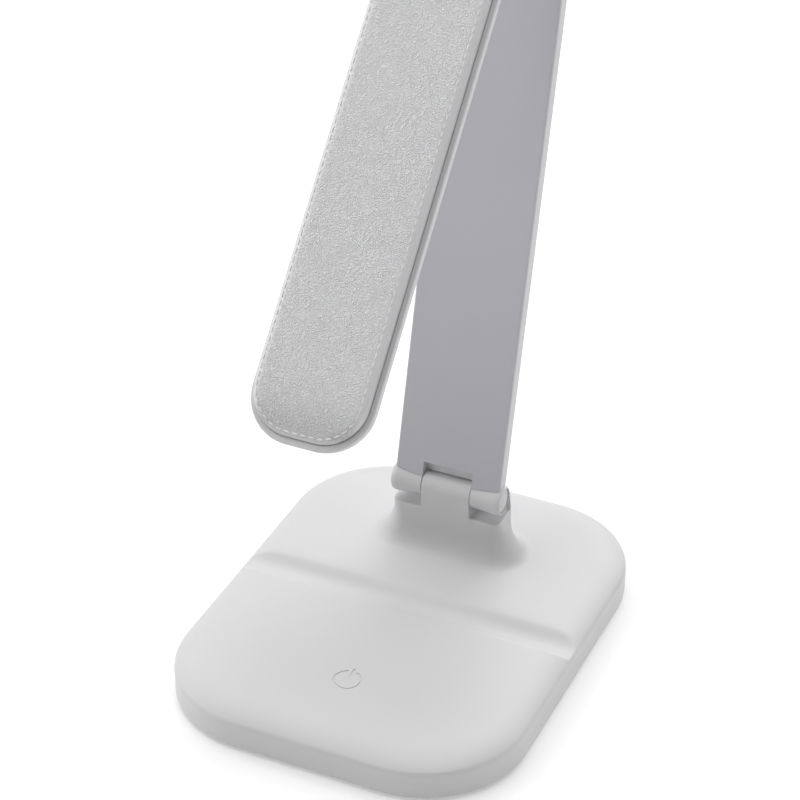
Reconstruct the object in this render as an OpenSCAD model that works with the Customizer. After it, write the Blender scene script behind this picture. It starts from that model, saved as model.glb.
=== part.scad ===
// Folding LED desk lamp: a rounded base with a pen groove and a touch key, a flat arm on a friction
// hinge, and a slim leather-faced lamp head that folds down against the arm.
// Millimetres, +Z up, the front towards -Y. The origin is the middle of the foot pad's face.

/* [Base] */
// Width of the base, side to side
base_w = 120; // [112:1:140]
// Depth of the base, front to back
base_l = 152; // [148:1:180]
// Height of the middle of the base's top above the desk
base_h = 13.7; // [13.2:0.1:16.2]
// Height of the base's upright wall above the desk
base_wall_h = 9.4; // [9:0.1:10]
// Plan radius of the base's corners
base_corner_r = 35; // [30:1:40]
// Radius of the edge over that wall
base_edge_r = 2; // [1.5:0.1:2.5]
// Width of the soft roll that rises from the edge to the flat top
base_roll = 13; // [11:0.5:15]
// Rise of the flat top from the roll to its middle
base_crown = 0.2; // [0.1:0.05:0.4]
// Wall of the moulded base cover
wall = 2; // [1.8:0.1:2.2]
// Thickness of the base plate
plate_t = 2.2; // [2:0.1:2.6]
// Thickness of the rubber foot pad
pad_t = 1.2; // [1.1:0.1:1.6]
// Distance of the pad's edge inside the base's edge
pad_margin = 10; // [9:0.5:11]

/* [Pen groove and touch key] */
// Place of the groove's front lip, along Y
groove_front_y = -5.4; // [-8:0.2:-3]
// Width of the groove, front to back
groove_w = 15.2; // [13:0.2:17]
// Depth of the groove below the middle of the top
groove_depth = 2.5; // [2:0.1:2.8]
// Distance of the touch key in front of the base's middle
key_y = 45; // [40:1:50]
// Outer radius of the engraved power symbol
key_r = 4.75; // [4:0.25:6]
// Width of the engraved line
key_line = 0.8; // [0.6:0.1:1]
// Depth of the engraved line
key_depth = 0.2; // [0.15:0.05:0.4]

/* [Neck and hinges] */
// Distance of the lower hinge's axis behind the base's middle
pivot_y = 35.6; // [33:0.2:38]
// Height of the lower hinge's axis above the desk
pivot_z = 36.6; // [34:0.2:40]
// Width of the neck under the hinge
neck_w = 38.4; // [37:0.2:39.4]
// Distance of the shelf in the neck below the hinge's axis
shelf_drop = 7.8; // [7:0.1:8]
// Sideways spread of the neck's foot
neck_flare = 10; // [7:0.5:11]
// Spread of the neck's foot to the front and to the rear
neck_fillet = 6; // [3:0.5:8]
// Height over which the neck's foot spreads to the front and to the rear
neck_fillet_h = 9; // [6:0.5:11]
// Radius of the centre knuckle
knuckle_r = 4.5; // [4.3:0.1:4.7]
// Width of the centre knuckle
knuckle_w = 17.4; // [16.6:0.2:18]
// Gap between the knuckle's side and the barrel beside it
side_gap = 0.25; // [0.2:0.05:0.35]
// Radius of the hinge barrel beside the knuckle
barrel_in_r = 4.6; // [4.5:0.1:4.8]
// Radius of the hinge barrel at its thickest, near its outer end
barrel_out_r = 5.3; // [5.2:0.1:5.6]
// Distance between the barrels' outer ends
barrel_span = 39.6; // [39:0.2:41]
// Radius of the steel hinge pin
pin_r = 2; // [1.8:0.1:2.1]
// Running clearance between the pin and its bush, on the radius
pin_play = 0.05; // [0.03:0.01:0.08]
// Wall of the bronze bush
bush_wall = 0.9; // [0.8:0.05:1]

/* [Arm] */
// Width of the arm
arm_w = 37.6; // [36.6:0.2:38.4]
// Thickness of the arm
arm_t = 7.5; // [7.2:0.1:8]
// Distance between the two hinge axes
arm_length = 264.3; // [255:1:285]
// Lean of the arm behind the vertical, in degrees
arm_lean = 14.3; // [8:0.5:20]
// Thickness of the arm's front panel
panel_t = 1.3; // [1.2:0.1:1.5]
// Wall of the arm's tray
arm_wall = 1.6; // [1.4:0.1:1.8]
// Thickness of the steel strip inside the arm
core_t = 1.5; // [1.2:0.1:1.6]

/* [Lamp head] */
// Width of the lamp head
head_w = 39; // [38:0.5:40]
// Thickness of the lamp head, up to the rim around its leather
head_t = 7.4; // [7.2:0.1:8]
// Distance from the upper hinge's axis to the head's tip
head_length = 245; // [235:1:250]
// Lean of the head off the vertical, tip forward, in degrees
head_lean = 42.8; // [36:0.5:48]
// Radius of the two corners at the head's tip
tip_r = 15; // [12:0.5:16]
// Inset of the head's lit face behind its rim, on each side
head_belly = 4.5; // [3.5:0.25:5]
// Width of the white rim along both sides of the leather
rim_w = 1.5; // [1.3:0.1:1.8]
// Width of the white rim at the head's tip
rim_tip_w = 2; // [1.6:0.1:2.4]
// Height of the leather pad above the rim
leather_rise = 4.7; // [4.2:0.1:5.2]
// How far the pad's face falls towards the head's tip
tip_drop = 4.6; // [3.6:0.2:4.8]
// Length over which it falls
slope_l = 30; // [20:1:40]
// How far the pad's edge swells outward above the rim
leather_bulge = 0.2; // [0.1:0.1:1.1]
// Radius of the pad's upper edge
leather_edge_r = 2.25; // [2:0.05:2.5]
// Thickness of the leather cover on the pad's face
leather_t = 1.1; // [1:0.05:1.2]
// Thickness of the diffuser panel
diffuser_t = 1.5; // [1.3:0.1:1.7]
// Gap between the folded head and the arm
fold_gap = 1.05; // [0.8:0.05:1.3]
// Distance between neighbouring LEDs
led_pitch = 8; // [7:0.5:10]

/* [Inside the base] */
// Width of the battery
battery_w = 70; // [60:1:74]
// Depth of the battery, front to back
battery_l = 30; // [26:1:32]
// Thickness of the battery
battery_t = 5; // [4.5:0.1:5.1]
// Thickness of the counterweight
weight_t = 4; // [3:0.1:4.5]
// Width of the main board
board_w = 62; // [56:1:64]
// Depth of the main board, front to back
board_l = 22; // [20:0.5:23]
// Thickness of the circuit boards
board_t = 1.2; // [1:0.1:1.4]

/* [Hidden] */
$fn = 64;

// General allowances
seat = 0.02;        // between pieces that are pressed or glued together
slip = 0.15;        // between pieces that drop into each other
swing_gap = 0.3;        // between pieces that turn past each other
over = 1;           // how far a cutting tool runs past the face it cuts
sharp_r = 0.05;     // corner of an outline that is left nearly sharp
corner_steps = 8;   // facets round each corner of a moulded skin
edge_steps = 4;     // facets round a moulded skin's rounded edge
roll_steps = 6;     // facets across the base's soft roll

// Heights in the base, counted from the desk
rim_z = 0.8;
foot_in = 0.9;                          // the wall's foot leans in by this much
foot_rise = 1.2;                        // and is upright from this far above the rim
plate_top = rim_z + plate_t;
ceiling_z = base_h - 1.6 * wall;
step_in = 2 * wall;                     // inset of the cover's higher inner step
step_z = base_wall_h - 1.4;
crown_in = 14;                          // inset of the highest inner step
crown_z = base_h - 1.3 * wall;
edge_turn = 58;                         // how far the edge turns before the roll takes over, in degrees
roll_in = base_edge_r * (1 - cos(edge_turn));
roll_top_z = base_h - base_crown;
roll_rise = roll_top_z - base_wall_h - base_edge_r * sin(edge_turn);
roll_power = (base_roll - roll_in) / roll_rise / tan(edge_turn);
groove_wall = 1.6;
groove_floor_z = base_h - groove_depth;
groove_roof_z = groove_floor_z - groove_wall;
groove_front_run = 2.4;
groove_flat = 5;
groove_steep_run = 6.4;
groove_steep_share = 0.7;
groove_climb = 1.15 * groove_depth;
groove_steps = 24;
band_margin = 1.6;

// Neck
neck_front_y = pivot_y - knuckle_r;
neck_wall_t = 2.6;
neck_gap = 1.4;
neck_stop_y = pivot_y + barrel_out_r + neck_gap;
neck_back_y = neck_stop_y + neck_wall_t;
neck_l = neck_back_y - neck_front_y;
neck_corner_r = 2.8;
neck_softening = 3.9;                   // how much its corners grow below the shelf
neck_soft_run = 7.5;                    // height over which they grow
shelf_z = pivot_z - shelf_drop;
neck_rear_rise = 5.3;                   // height of the neck's rear wall above the shelf
neck_top_z = shelf_z + neck_rear_rise;
neck_foot_z = roll_top_z;               // where its fillets meet the top
neck_root_z = base_h - wall;
neck_steps = 10;
neck_room_w = neck_w - 7.4;
neck_room_front = neck_front_y + neck_wall_t;
neck_room_back = neck_stop_y - 1;
neck_room_top = shelf_z - 1.2;

// Hinge, counted from its middle along X
knuckle_half = knuckle_w / 2;
barrel_start = knuckle_half + side_gap;
barrel_half = barrel_span / 2;
barrel_edge_l = 1.4;                    // length of the rounding at the barrel's outer end
barrel_swell = 1.6;                     // how late the barrel widens towards its outer end
barrel_end_r = barrel_out_r - 0.6;
bush_in_r = pin_r + pin_play;
bush_r = bush_in_r + bush_wall;
washer_t = 1;
washer_r = 3.3;
washer_seat_t = 0.85;
washer_seat_r = washer_r + slip;
pocket_r = 3.8;
pocket_start = barrel_half - 4.3;
cap_t = 0.9;
cap_r = pocket_r + 0.6;
pin_head_t = 1.4;
pin_head_r = 3.4;
disc_spring_t = 0.8;                    // height of a disc spring, and below it the plate it is cut from
disc_plate_t = 0.4;
nut_t = 1.8;
nut_r = 3.6;
nut_start = pocket_start + disc_spring_t;
thread_over = 0.3;
notch_depth = 8.2;                      // how far the arm's notch reaches from the hinge axis
notch_floor_y = -0.75;                  // floor of the lower notch above the knuckle
block_end = 12;                         // how far the arm's solid end reaches from the axis

// Arm, in its own frame: the lower axis at the origin, the arm along +Z, its front towards -Y
arm_half = arm_w / 2;
arm_front = -arm_t / 2;
arm_back = arm_t / 2;
panel_back = arm_front + panel_t;
panel_edge_r = 0.6;
arm_back_r = 2.2;
arm_room_half = arm_half - arm_wall;
arm_room_back = arm_back - arm_wall;
core_w = 26;
core_front = arm_room_back - core_t - seat;
core_margin = 18;
stake_r = 1.2;
stake_head_r = 2;
stake_head_t = 0.6;
stake_count = 4;
stake_in = core_margin + 12;
stake_cover = 0.5;                      // plastic left outside a stake's foot
ribbon_w = 6;
ribbon_t = 0.3;
arm_ribbon_out = 4;                     // how far the arm's ribbon runs past the steel strip

// Head, in its own frame: the upper axis at the origin, the head along -Z, the leather towards -Y
lit_y = -(arm_t / 2 + fold_gap);
rim_y = lit_y - head_t;
leather_y = rim_y - leather_rise;
head_half = head_w / 2;
head_start = notch_depth - 0.2;
near_r = 3;
rim_bevel = 0.25;
tongue_l = 8;                           // how far the hinge's tongue runs into the head
floor_t = 1.2;
seat_depth = 0.9;                       // depth of the leather's seat below the rim
seat_y = rim_y + seat_depth;
floor_back_y = seat_y + floor_t;
leather_gap = 0.35;
leather_half = head_half - rim_w - leather_gap;
leather_near = head_start + rim_w + leather_gap;
leather_far = head_length - rim_tip_w - leather_gap;
leather_far_r = tip_r - rim_w - leather_gap;
leather_foot_z = 0.2 - rim_y;           // where its edge starts to swell, as a drawn height
leather_wide_z = -leather_y - leather_edge_r;
trim_in = leather_t + seat;             // the carrier's inset from the leather's foot
trim_t = 1.2;
trim_edge_r = 1;
trim_top_z = -leather_y - leather_t - seat;
diffuser_lip = 1.1;
diffuser_half = head_half - head_belly - diffuser_lip;
diffuser_in = 8;
diffuser_near = head_start + diffuser_in;
diffuser_far = head_length - head_belly - diffuser_lip;
diffuser_back_y = lit_y - diffuser_t;
head_room_in = 1.2;
led_board_t = 1;
led_board_w = 12;
led_board_in = 12;
led_board_near = diffuser_near + led_board_in;
led_board_far = diffuser_far - led_board_in - 2;
led_size = 3;
led_t = 0.8;
led_rows = 2;
led_row_gap = 5;
led_count = floor((led_board_far - led_board_near - 2 * led_size) / led_pitch);
reflector_t = 0.3;
reflector_hole = led_size + 0.6;
led_depth = 2.2;                        // light space between the LED board and the diffuser
led_board_y = diffuser_back_y - led_depth;
led_board_back_y = led_board_y - led_board_t;
led_first = led_board_near + 2.2 * led_size;
led_ribbon_in = 6;
led_screw_r = 0.8;
led_screw_l = 1.9;
reflector_y = led_board_y + 0.1;

// Screws
post_r = 2.4;
screw_r = 1;
screw_head_r = 2.1;
screw_head_t = 1;
boss_r = 3.2;
base_screw_in = 21;
base_screw_x = base_w / 2 - base_screw_in;
base_screw_y = base_l / 2 - base_screw_in;
weight_w = 66;
weight_front_in = 8;
weight_l = 42;
weight_front_y = weight_front_in - base_l / 2;
weight_mid_y = weight_front_y + weight_l / 2;
weight_corner_r = 6;
weight_screw_x = 24;
battery_y = 2;
battery_corner_r = 1.5;
tape_t = 0.4;
battery_z = plate_top + tape_t;
board_z = step_z - slip - board_t;
board_top = board_z + board_t;
board_corner_r = 1;
board_screw_bite = 3;
bracket_screw_bite = 1.2;
base_screw_bite = 4;
board_back_y = base_l / 2 - step_in - slip;
board_front_y = board_back_y - board_l;
board_mid_y = (board_back_y + board_front_y) / 2;
board_screw_in = 3.2;

// USB-C socket, to its standard size
usb_w = 8.94;
usb_h = 3.26;
usb_l = 7.35;
usb_wall = 0.3;
usb_recess = 0.5;
usb_z = board_z - usb_h / 2;
usb_mouth_gap = 0.35;
usb_relief_w = usb_w + 2;
usb_relief_t = 0.8;
usb_back_t = 1;
usb_tongue_w = 6.6;
usb_tongue_t = 0.7;

// Touch key's board
touch_w = 22;
touch_l = 16;
touch_t = 1;
foil_r = 7;
foil_t = 0.2;
touch_ribbon_x = 8.6;
touch_top = crown_z - foil_t;

// Bracket in the neck
web_w = 11;
web_t = 2.4;
web_front = neck_room_front + 0.4;
web_top = pivot_z - bush_r - 1.6;
foot_w = 30;
foot_t = 1.6;
foot_l = 16;
bracket_screw_x = 11;
bracket_screw_y = web_front + web_t + 8;

// ---- helpers ----

// Places children on the arm or the head, from that piece's own frame
module on_arm() translate([0, pivot_y, pivot_z]) rotate([-arm_lean, 0, 0]) children();
module on_upper_end() on_arm() translate([0, 0, arm_length]) children();
module on_head() on_upper_end() rotate([arm_lean - head_lean, 0, 0]) children();

// Both sides of the middle plane
module both_sides() {
    children();
    mirror([1, 0, 0]) children();
}

// A flat outline from y0 to y1, half_w wide each side, its corners rounded by r0 at y0 and r1 at y1
module outline2d(half_w, y0, y1, r0, r1) intersection() {
    translate([-half_w, y0]) square([2 * half_w, y1 - y0]);
    union() {
        translate([-half_w, y0 + r0]) square([2 * half_w, max(y1 - y0 - r0 - r1, seat)]);
        translate([r0 - half_w, y0]) square([2 * (half_w - r0), (y1 - y0) / 2]);
        translate([r1 - half_w, (y0 + y1) / 2]) square([2 * (half_w - r1), (y1 - y0) / 2]);
        for (side = [-1, 1]) {
            translate([side * (half_w - r0), y0 + r0]) circle(r0);
            translate([side * (half_w - r1), y1 - r1]) circle(r1);
        }
    }
}

// A plate of that outline between two heights
module plate(half_w, y0, y1, r0, r1, z0, z1)
    translate([0, 0, z0]) linear_extrude(z1 - z0) outline2d(half_w, y0, y1, r0, r1);

// Points of the same outline drawn in by an inset, anticlockwise, for a moulded skin
function corner(cx, cy, r, from) =
    [for (i = [0 : corner_steps]) let (a = from + 90 * i / corner_steps) [cx + r * cos(a), cy + r * sin(a)]];
function ring(half_w, y0, y1, r0, r1, inset) =
    let (a = r0 - inset, b = r1 - inset, x = half_w - inset, lo = y0 + inset, hi = y1 - inset)
    concat(corner(x - a, lo + a, a, -90), corner(x - b, hi - b, b, 0),
           corner(b - x, hi - b, b, 90), corner(a - x, lo + a, a, 180));
function lift(points, z) = [for (p = points) [p[0], p[1], z]];
function shrink(points, s, mid_y) = [for (p = points) [s * p[0], mid_y + s * (p[1] - mid_y)]];

// A closed skin through rings of equally many points, from the lowest ring to the highest
module skin(rings) {
    n = len(rings[0]);
    last = len(rings) - 1;
    polyhedron(
        points = [for (r = rings) each r],
        faces = concat(
            [[for (i = [0 : n - 1]) i]],
            [for (k = [0 : last - 1], i = [0 : n - 1])
                [k * n + i, (k + 1) * n + i, (k + 1) * n + (i + 1) % n, k * n + (i + 1) % n]],
            [[for (i = [n - 1 : -1 : 0]) last * n + i]]));
}

// A smooth step from 0 to 1
function ease(t) = let (u = min(max(t, 0), 1)) u * u * (3 - 2 * u);

// A screw with its head up at z = 0 and its shank below
module screw(shank) {
    cylinder(r = screw_head_r, h = screw_head_t);
    translate([0, 0, -shank]) cylinder(r = screw_r, h = shank + seat);
}

// A round bar along X between two places
module bar_x(r, x0, x1) translate([x0, 0, 0]) rotate([0, 90, 0]) cylinder(r = r, h = x1 - x0);

// A round bar along Y between two places
module bar_y(r, y0, y1) translate([0, y0, 0]) rotate([-90, 0, 0]) cylinder(r = r, h = y1 - y0);

// ---- base ----

// Height of the flat top at a share s of the way from its middle to the roll
function crown(s) = base_h - base_crown * s * s;

function base_ring(inset) = ring(base_w / 2, -base_l / 2, base_l / 2, base_corner_r, base_corner_r, inset);

module base_skin() {
    dome = [0.8, 0.55, 0.25];
    skin(concat(
        [lift(base_ring(foot_in), rim_z), lift(base_ring(0), rim_z + foot_rise)],
        [for (i = [0 : edge_steps]) let (a = edge_turn * i / edge_steps)
            lift(base_ring(base_edge_r * (1 - cos(a))), base_wall_h + base_edge_r * sin(a))],
        [for (i = [1 : roll_steps]) let (t = i / roll_steps)
            lift(base_ring(roll_in + (base_roll - roll_in) * t),
                 roll_top_z - roll_rise * pow(1 - t, roll_power))],
        [for (s = dome) lift(shrink(base_ring(base_roll), s, 0), crown(s))]));
}

// Height of the pen groove's surface along Y: a steep front wall, a flat floor and an easy rise
function groove_z(y) =
    let (rear = groove_front_y + groove_front_run + groove_flat,
         gentle_run = groove_front_y + groove_w - rear)
    groove_floor_z
        + groove_climb * (1 - ease((y - groove_front_y) / groove_front_run))
        + groove_climb * groove_steep_share * ease((y - rear) / groove_steep_run)
        + groove_climb * (1 - groove_steep_share) * ease((y - rear) / gentle_run);

module groove_tool() {
    top = base_h + over;
    rotate([90, 0, 90]) translate([0, 0, -base_w / 2 - over]) linear_extrude(base_w + 2 * over)
        polygon(concat(
            [for (i = [0 : groove_steps]) let (y = groove_front_y + groove_w * i / groove_steps)
                [y, groove_z(y)]],
            [[groove_front_y + groove_w, top], [groove_front_y, top]]));
}

// Hollow of the cover: three steps under the domed top, with a thick band left under the groove
module cover_room() {
    module step(inset, z0, z1)
        plate(base_w / 2 - inset, inset - base_l / 2, base_l / 2 - inset,
              base_corner_r - inset, base_corner_r - inset, z0, z1);
    difference() {
        union() {
            step(wall, rim_z - over, step_z);
            step(step_in, step_z - over, ceiling_z);
            step(crown_in, ceiling_z - over, crown_z);
        }
        translate([-base_w / 2, groove_front_y - band_margin, groove_roof_z])
            cube([base_w, groove_w + 2 * band_margin, base_h]);
    }
}

// Outward spread of the neck's foot at height z: a quarter of an ellipse, `reach` wide and `high`
function foot_spread(z, reach, high) = let (t = min(max((neck_foot_z + high - z) / high, 0), 1))
    reach * (1 - sqrt(1 - t * t));

// The neck's outline at height z, spread by `side` to its sides and by `end` to its front and rear
function neck_ring(side, end, z) =
    let (softened = min(max((shelf_z - z) / neck_soft_run, 0), 1),
         r = neck_corner_r + neck_softening * softened + end)
    lift(ring(neck_w / 2 + side, neck_front_y - end, neck_back_y + end, r, r, 0), z);

module neck_skin() {
    high = neck_top_z - neck_foot_z;
    skin(concat(
        [neck_ring(neck_flare, neck_fillet, neck_root_z)],
        [for (i = [0 : neck_steps]) let (z = neck_top_z - high * sin(90 * (1 - i / neck_steps)))
            neck_ring(foot_spread(z, neck_flare, high), foot_spread(z, neck_fillet, neck_fillet_h), z)]));
}

// The centre knuckle: a round end on the hinge axis over a flat-sided tongue
module knuckle(down) {
    bar_x(knuckle_r, -knuckle_half, knuckle_half);
    translate([-knuckle_half, -knuckle_r, -down]) cube([knuckle_w, 2 * knuckle_r, down]);
}

// What is bored out of a knuckle: the bush's seat and the two washers' seats
module knuckle_bores() {
    bar_x(bush_r + seat, -knuckle_half - over, knuckle_half + over);
    both_sides() bar_x(washer_seat_r, knuckle_half - washer_seat_t, knuckle_half + over);
}

module power_symbol() {
    gap_half = 1.3;
    bar_from = 0.35 * key_r;
    bar_l = 0.9 * key_r;
    floor_z = crown(key_y / (base_l / 2 - base_roll)) - key_depth;
    translate([0, -key_y, floor_z]) {
        difference() {
            cylinder(r = key_r, h = over);
            translate([0, 0, -over]) cylinder(r = key_r - key_line, h = 3 * over);
            translate([-gap_half, 0, -over]) cube([2 * gap_half, key_r + over, 3 * over]);
        }
        translate([-key_line / 2, bar_from, 0]) cube([key_line, bar_l, over]);
    }
}

// A slot with round ends, `half` wide each side
module slot2d(half, r) {
    for (side = [-1, 1]) translate([side * (half - r), 0]) circle(r);
    translate([r - half, -r]) square([2 * (half - r), 2 * r]);
}

module usb_opening()
    translate([0, base_l / 2 + over, usb_z]) rotate([90, 0, 0]) linear_extrude(wall + 2 * over)
        slot2d(usb_w / 2 + usb_mouth_gap, usb_h / 2 + usb_mouth_gap);

// Where the screws of the base stand
module at_base_screws() for (x = [-1, 1], y = [-1, 1])
    translate([x * base_screw_x, y * base_screw_y, 0]) children();
module at_board_screws() for (x = [-1, 1], y = [-1, 1])
    translate([x * (board_w / 2 - board_screw_in), board_mid_y + y * (board_l / 2 - board_screw_in), 0])
        children();
module at_weight_screws() for (x = [-1, 1]) translate([x * weight_screw_x, weight_mid_y, 0]) children();
module at_bracket_screws() for (x = [-1, 1]) translate([x * bracket_screw_x, bracket_screw_y, 0]) children();

module base_cover() color([0.93, 0.93, 0.94]) difference() {
    union() {
        difference() {
            union() {
                base_skin();
                neck_skin();
            }
            cover_room();
            groove_tool();
            translate([-neck_room_w / 2, neck_room_front, rim_z])
                cube([neck_room_w, neck_room_back - neck_room_front, neck_room_top - rim_z]);
            // the two seats over the shelf, where the barrels turn
            both_sides() translate([knuckle_half, neck_front_y - neck_flare, shelf_z])
                cube([neck_w, neck_stop_y - neck_front_y + neck_flare, neck_top_z]);
            translate([-knuckle_half - over, pivot_y + knuckle_r, shelf_z])
                cube([knuckle_w + 2 * over, neck_stop_y - pivot_y - knuckle_r, neck_top_z]);
        }
        intersection() {
            translate([0, pivot_y, pivot_z]) knuckle(pivot_z - neck_room_top + over);
            translate([-neck_w, neck_front_y, 0]) cube([2 * neck_w, neck_l, pivot_z + barrel_out_r]);
        }
        at_base_screws() translate([0, 0, plate_top + slip])
            cylinder(r = boss_r, h = ceiling_z - plate_top);
    }
    translate([0, pivot_y, pivot_z]) knuckle_bores();
    at_base_screws() translate([0, 0, plate_top - over])
        cylinder(r = screw_r + seat, h = base_screw_bite + 2 * over);
    // slot in the knuckle's root for the bracket's web
    translate([-web_w / 2 - slip, web_front - slip, neck_room_top - over])
        cube([web_w + 2 * slip, web_t + 2 * slip, web_top + slip - neck_room_top + over]);
    usb_opening();
    power_symbol();
}

module base_plate() color([0.88, 0.88, 0.89]) {
    inset = wall + slip;
    post_z = plate_top - seat;
    difference() {
        union() {
            plate(base_w / 2 - inset, inset - base_l / 2, base_l / 2 - inset,
                  base_corner_r - inset, base_corner_r - inset, rim_z, plate_top);
            at_board_screws() translate([0, 0, post_z]) cylinder(r = post_r, h = board_z - post_z - seat);
            at_weight_screws() translate([0, 0, post_z]) cylinder(r = post_r, h = weight_t - slip);
        }
        plate(base_w / 2 - pad_margin + slip, pad_margin - slip - base_l / 2, base_l / 2 - pad_margin + slip,
              base_corner_r - pad_margin + slip, base_corner_r - pad_margin + slip, rim_z - over, pad_t);
        at_base_screws() translate([0, 0, rim_z - over]) {
            cylinder(r = screw_r + slip, h = plate_t + 3 * over);
            cylinder(r = screw_head_r + slip, h = pad_t + screw_head_t + slip - rim_z + over);
        }
        at_board_screws() translate([0, 0, plate_top]) cylinder(r = screw_r + seat, h = board_z);
        at_weight_screws() translate([0, 0, plate_top]) cylinder(r = screw_r + seat, h = weight_t + over);
        at_bracket_screws() translate([0, 0, plate_top - bracket_screw_bite - slip])
            cylinder(r = screw_r + seat, h = bracket_screw_bite + over);
        // room for the socket over the plate's rear edge
        translate([-usb_relief_w / 2, base_l / 2 - usb_l - wall, plate_top - usb_relief_t])
            cube([usb_relief_w, usb_l + wall, over + usb_relief_t]);
    }
}

module foot_pad() color([0.62, 0.63, 0.64])
    plate(base_w / 2 - pad_margin, pad_margin - base_l / 2, base_l / 2 - pad_margin,
          base_corner_r - pad_margin, base_corner_r - pad_margin, 0, pad_t - seat);

module base_screws() color([0.45, 0.46, 0.48])
    at_base_screws() translate([0, 0, pad_t + screw_head_t]) mirror([0, 0, 1])
        screw(plate_top + base_screw_bite - pad_t - screw_head_t);

module counterweight() color([0.5, 0.5, 0.52]) difference() {
    plate(weight_w / 2, weight_front_y, weight_front_y + weight_l, weight_corner_r, weight_corner_r,
          plate_top, plate_top + weight_t);
    at_weight_screws() translate([0, 0, plate_top - over])
        cylinder(r = post_r + slip, h = weight_t + 2 * over);
}

module weight_screws() color([0.72, 0.72, 0.74]) at_weight_screws() translate([0, 0, plate_top + weight_t]) {
    plate_r = post_r + 1.6;
    plate_h = 0.6;
    difference() {
        cylinder(r = plate_r, h = plate_h);
        translate([0, 0, -over]) cylinder(r = screw_r, h = 3 * over);
    }
    translate([0, 0, plate_h]) screw(plate_h + weight_t - over);
}

module battery() color([0.35, 0.45, 0.62])
    plate(battery_w / 2, battery_y - battery_l / 2, battery_y + battery_l / 2, battery_corner_r,
          battery_corner_r, battery_z, battery_z + battery_t);

module battery_tape() color([0.9, 0.9, 0.86]) {
    margin = 4;
    plate(battery_w / 2 - margin, battery_y - battery_l / 2 + margin, battery_y + battery_l / 2 - margin,
          board_corner_r, board_corner_r, plate_top, battery_z);
}

module main_board() color([0.1, 0.42, 0.25]) difference() {
    plate(board_w / 2, board_front_y, board_back_y, board_corner_r, board_corner_r, board_z, board_top);
    at_board_screws() translate([0, 0, board_z - over]) cylinder(r = screw_r + slip, h = board_t + 2 * over);
}

// Chips, a coil and a connector: [x, distance in front of the board's rear edge, width, depth, height]
top_parts = [[-14, 12, 5, 5, 0.9], [14, 12, 4, 4, 0.9], [0, 16, 7, 4, 1.2]];
under_parts = [[-18, 9, 7, 7, 3], [18, 9, 6, 6, 2.8]];
module board_parts() color([0.12, 0.12, 0.13]) {
    for (p = top_parts) translate([p[0] - p[2] / 2, board_back_y - p[1] - p[3] / 2, board_top])
        cube([p[2], p[3], p[4]]);
    for (p = under_parts) translate([p[0] - p[2] / 2, board_back_y - p[1] - p[3] / 2, board_z - p[4]])
        cube([p[2], p[3], p[4]]);
}

module usb_socket() color([0.75, 0.75, 0.77]) {
    back_y = base_l / 2 - usb_recess - usb_l;
    translate([0, back_y, usb_z]) rotate([-90, 0, 0]) {
        difference() {
            linear_extrude(usb_l) slot2d(usb_w / 2, usb_h / 2);
            translate([0, 0, usb_back_t]) linear_extrude(usb_l)
                slot2d(usb_w / 2 - usb_wall, usb_h / 2 - usb_wall);
        }
        translate([-usb_tongue_w / 2, -usb_tongue_t / 2, usb_back_t - seat])
            cube([usb_tongue_w, usb_tongue_t, usb_l - 2 * usb_back_t]);
    }
}

module board_screws() color([0.72, 0.72, 0.74])
    at_board_screws() translate([0, 0, board_top]) screw(board_t + board_screw_bite);

module touch_board() color([0.1, 0.42, 0.25])
    plate(touch_w / 2, -key_y - touch_l / 2, -key_y + touch_l / 2, board_corner_r, board_corner_r,
          touch_top - touch_t, touch_top);

module touch_electrode() color([0.78, 0.5, 0.3])
    translate([0, -key_y, touch_top]) cylinder(r = foil_r, h = foil_t - seat);

// A flat ribbon bent in the YZ plane through hand-set points, `w` wide from x
module ribbon(points, x, w) {
    n = len(points) - 1;
    rotate([90, 0, 90]) translate([0, 0, x]) linear_extrude(w)
        polygon(concat(points, [for (i = [n : -1 : 0]) [points[i][0], points[i][1] - ribbon_t]]));
}

module touch_ribbon() color([0.85, 0.55, 0.25]) {
    lead = 3;
    start_y = -key_y + touch_l / 2 - lead;
    under_touch = touch_top - touch_t - seat;
    over_cell = battery_z + battery_t + ribbon_t + slip;
    on_board = board_top + ribbon_t + seat;
    dip_y = groove_front_y - band_margin - 8;
    rise_y = board_front_y - 8;
    ribbon([[start_y, under_touch], [start_y + lead + 1, under_touch], [dip_y, over_cell],
            [rise_y, over_cell], [board_front_y - 2, on_board], [board_front_y + lead, on_board]],
           touch_ribbon_x, ribbon_w);
}

module neck_bracket() color([0.66, 0.67, 0.69]) difference() {
    union() {
        translate([-web_w / 2, web_front, plate_top]) cube([web_w, web_t, web_top - plate_top]);
        translate([-foot_w / 2, web_front, plate_top]) cube([foot_w, foot_l, foot_t]);
    }
    at_bracket_screws() translate([0, 0, plate_top - over])
        cylinder(r = screw_r + slip, h = foot_t + 2 * over);
}

module bracket_screws() color([0.72, 0.72, 0.74])
    at_bracket_screws() translate([0, 0, plate_top + foot_t]) screw(foot_t + bracket_screw_bite);

module neck_ribbon() color([0.85, 0.55, 0.25]) {
    lead = 3;
    bend = 2;
    rise_y = web_front + web_t + swing_gap + over;
    on_board = board_top + ribbon_t + seat;
    ribbon([[board_front_y + lead, on_board], [board_front_y - 1, on_board],
            [rise_y + ribbon_t + bend / 2, on_board + ribbon_t], [rise_y + ribbon_t, on_board + bend]],
           -ribbon_w / 2, ribbon_w);
    translate([-ribbon_w / 2, rise_y, on_board + bend / 2])
        cube([ribbon_w, ribbon_t, neck_room_top - on_board - bend]);
}

// ---- hinge hardware, in a frame whose X axis is the hinge axis ----

module bush() color([0.72, 0.55, 0.3]) difference() {
    half = knuckle_half - washer_seat_t;
    bar_x(bush_r, -half, half);
    bar_x(bush_in_r, -half - over, half + over);
}

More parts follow.
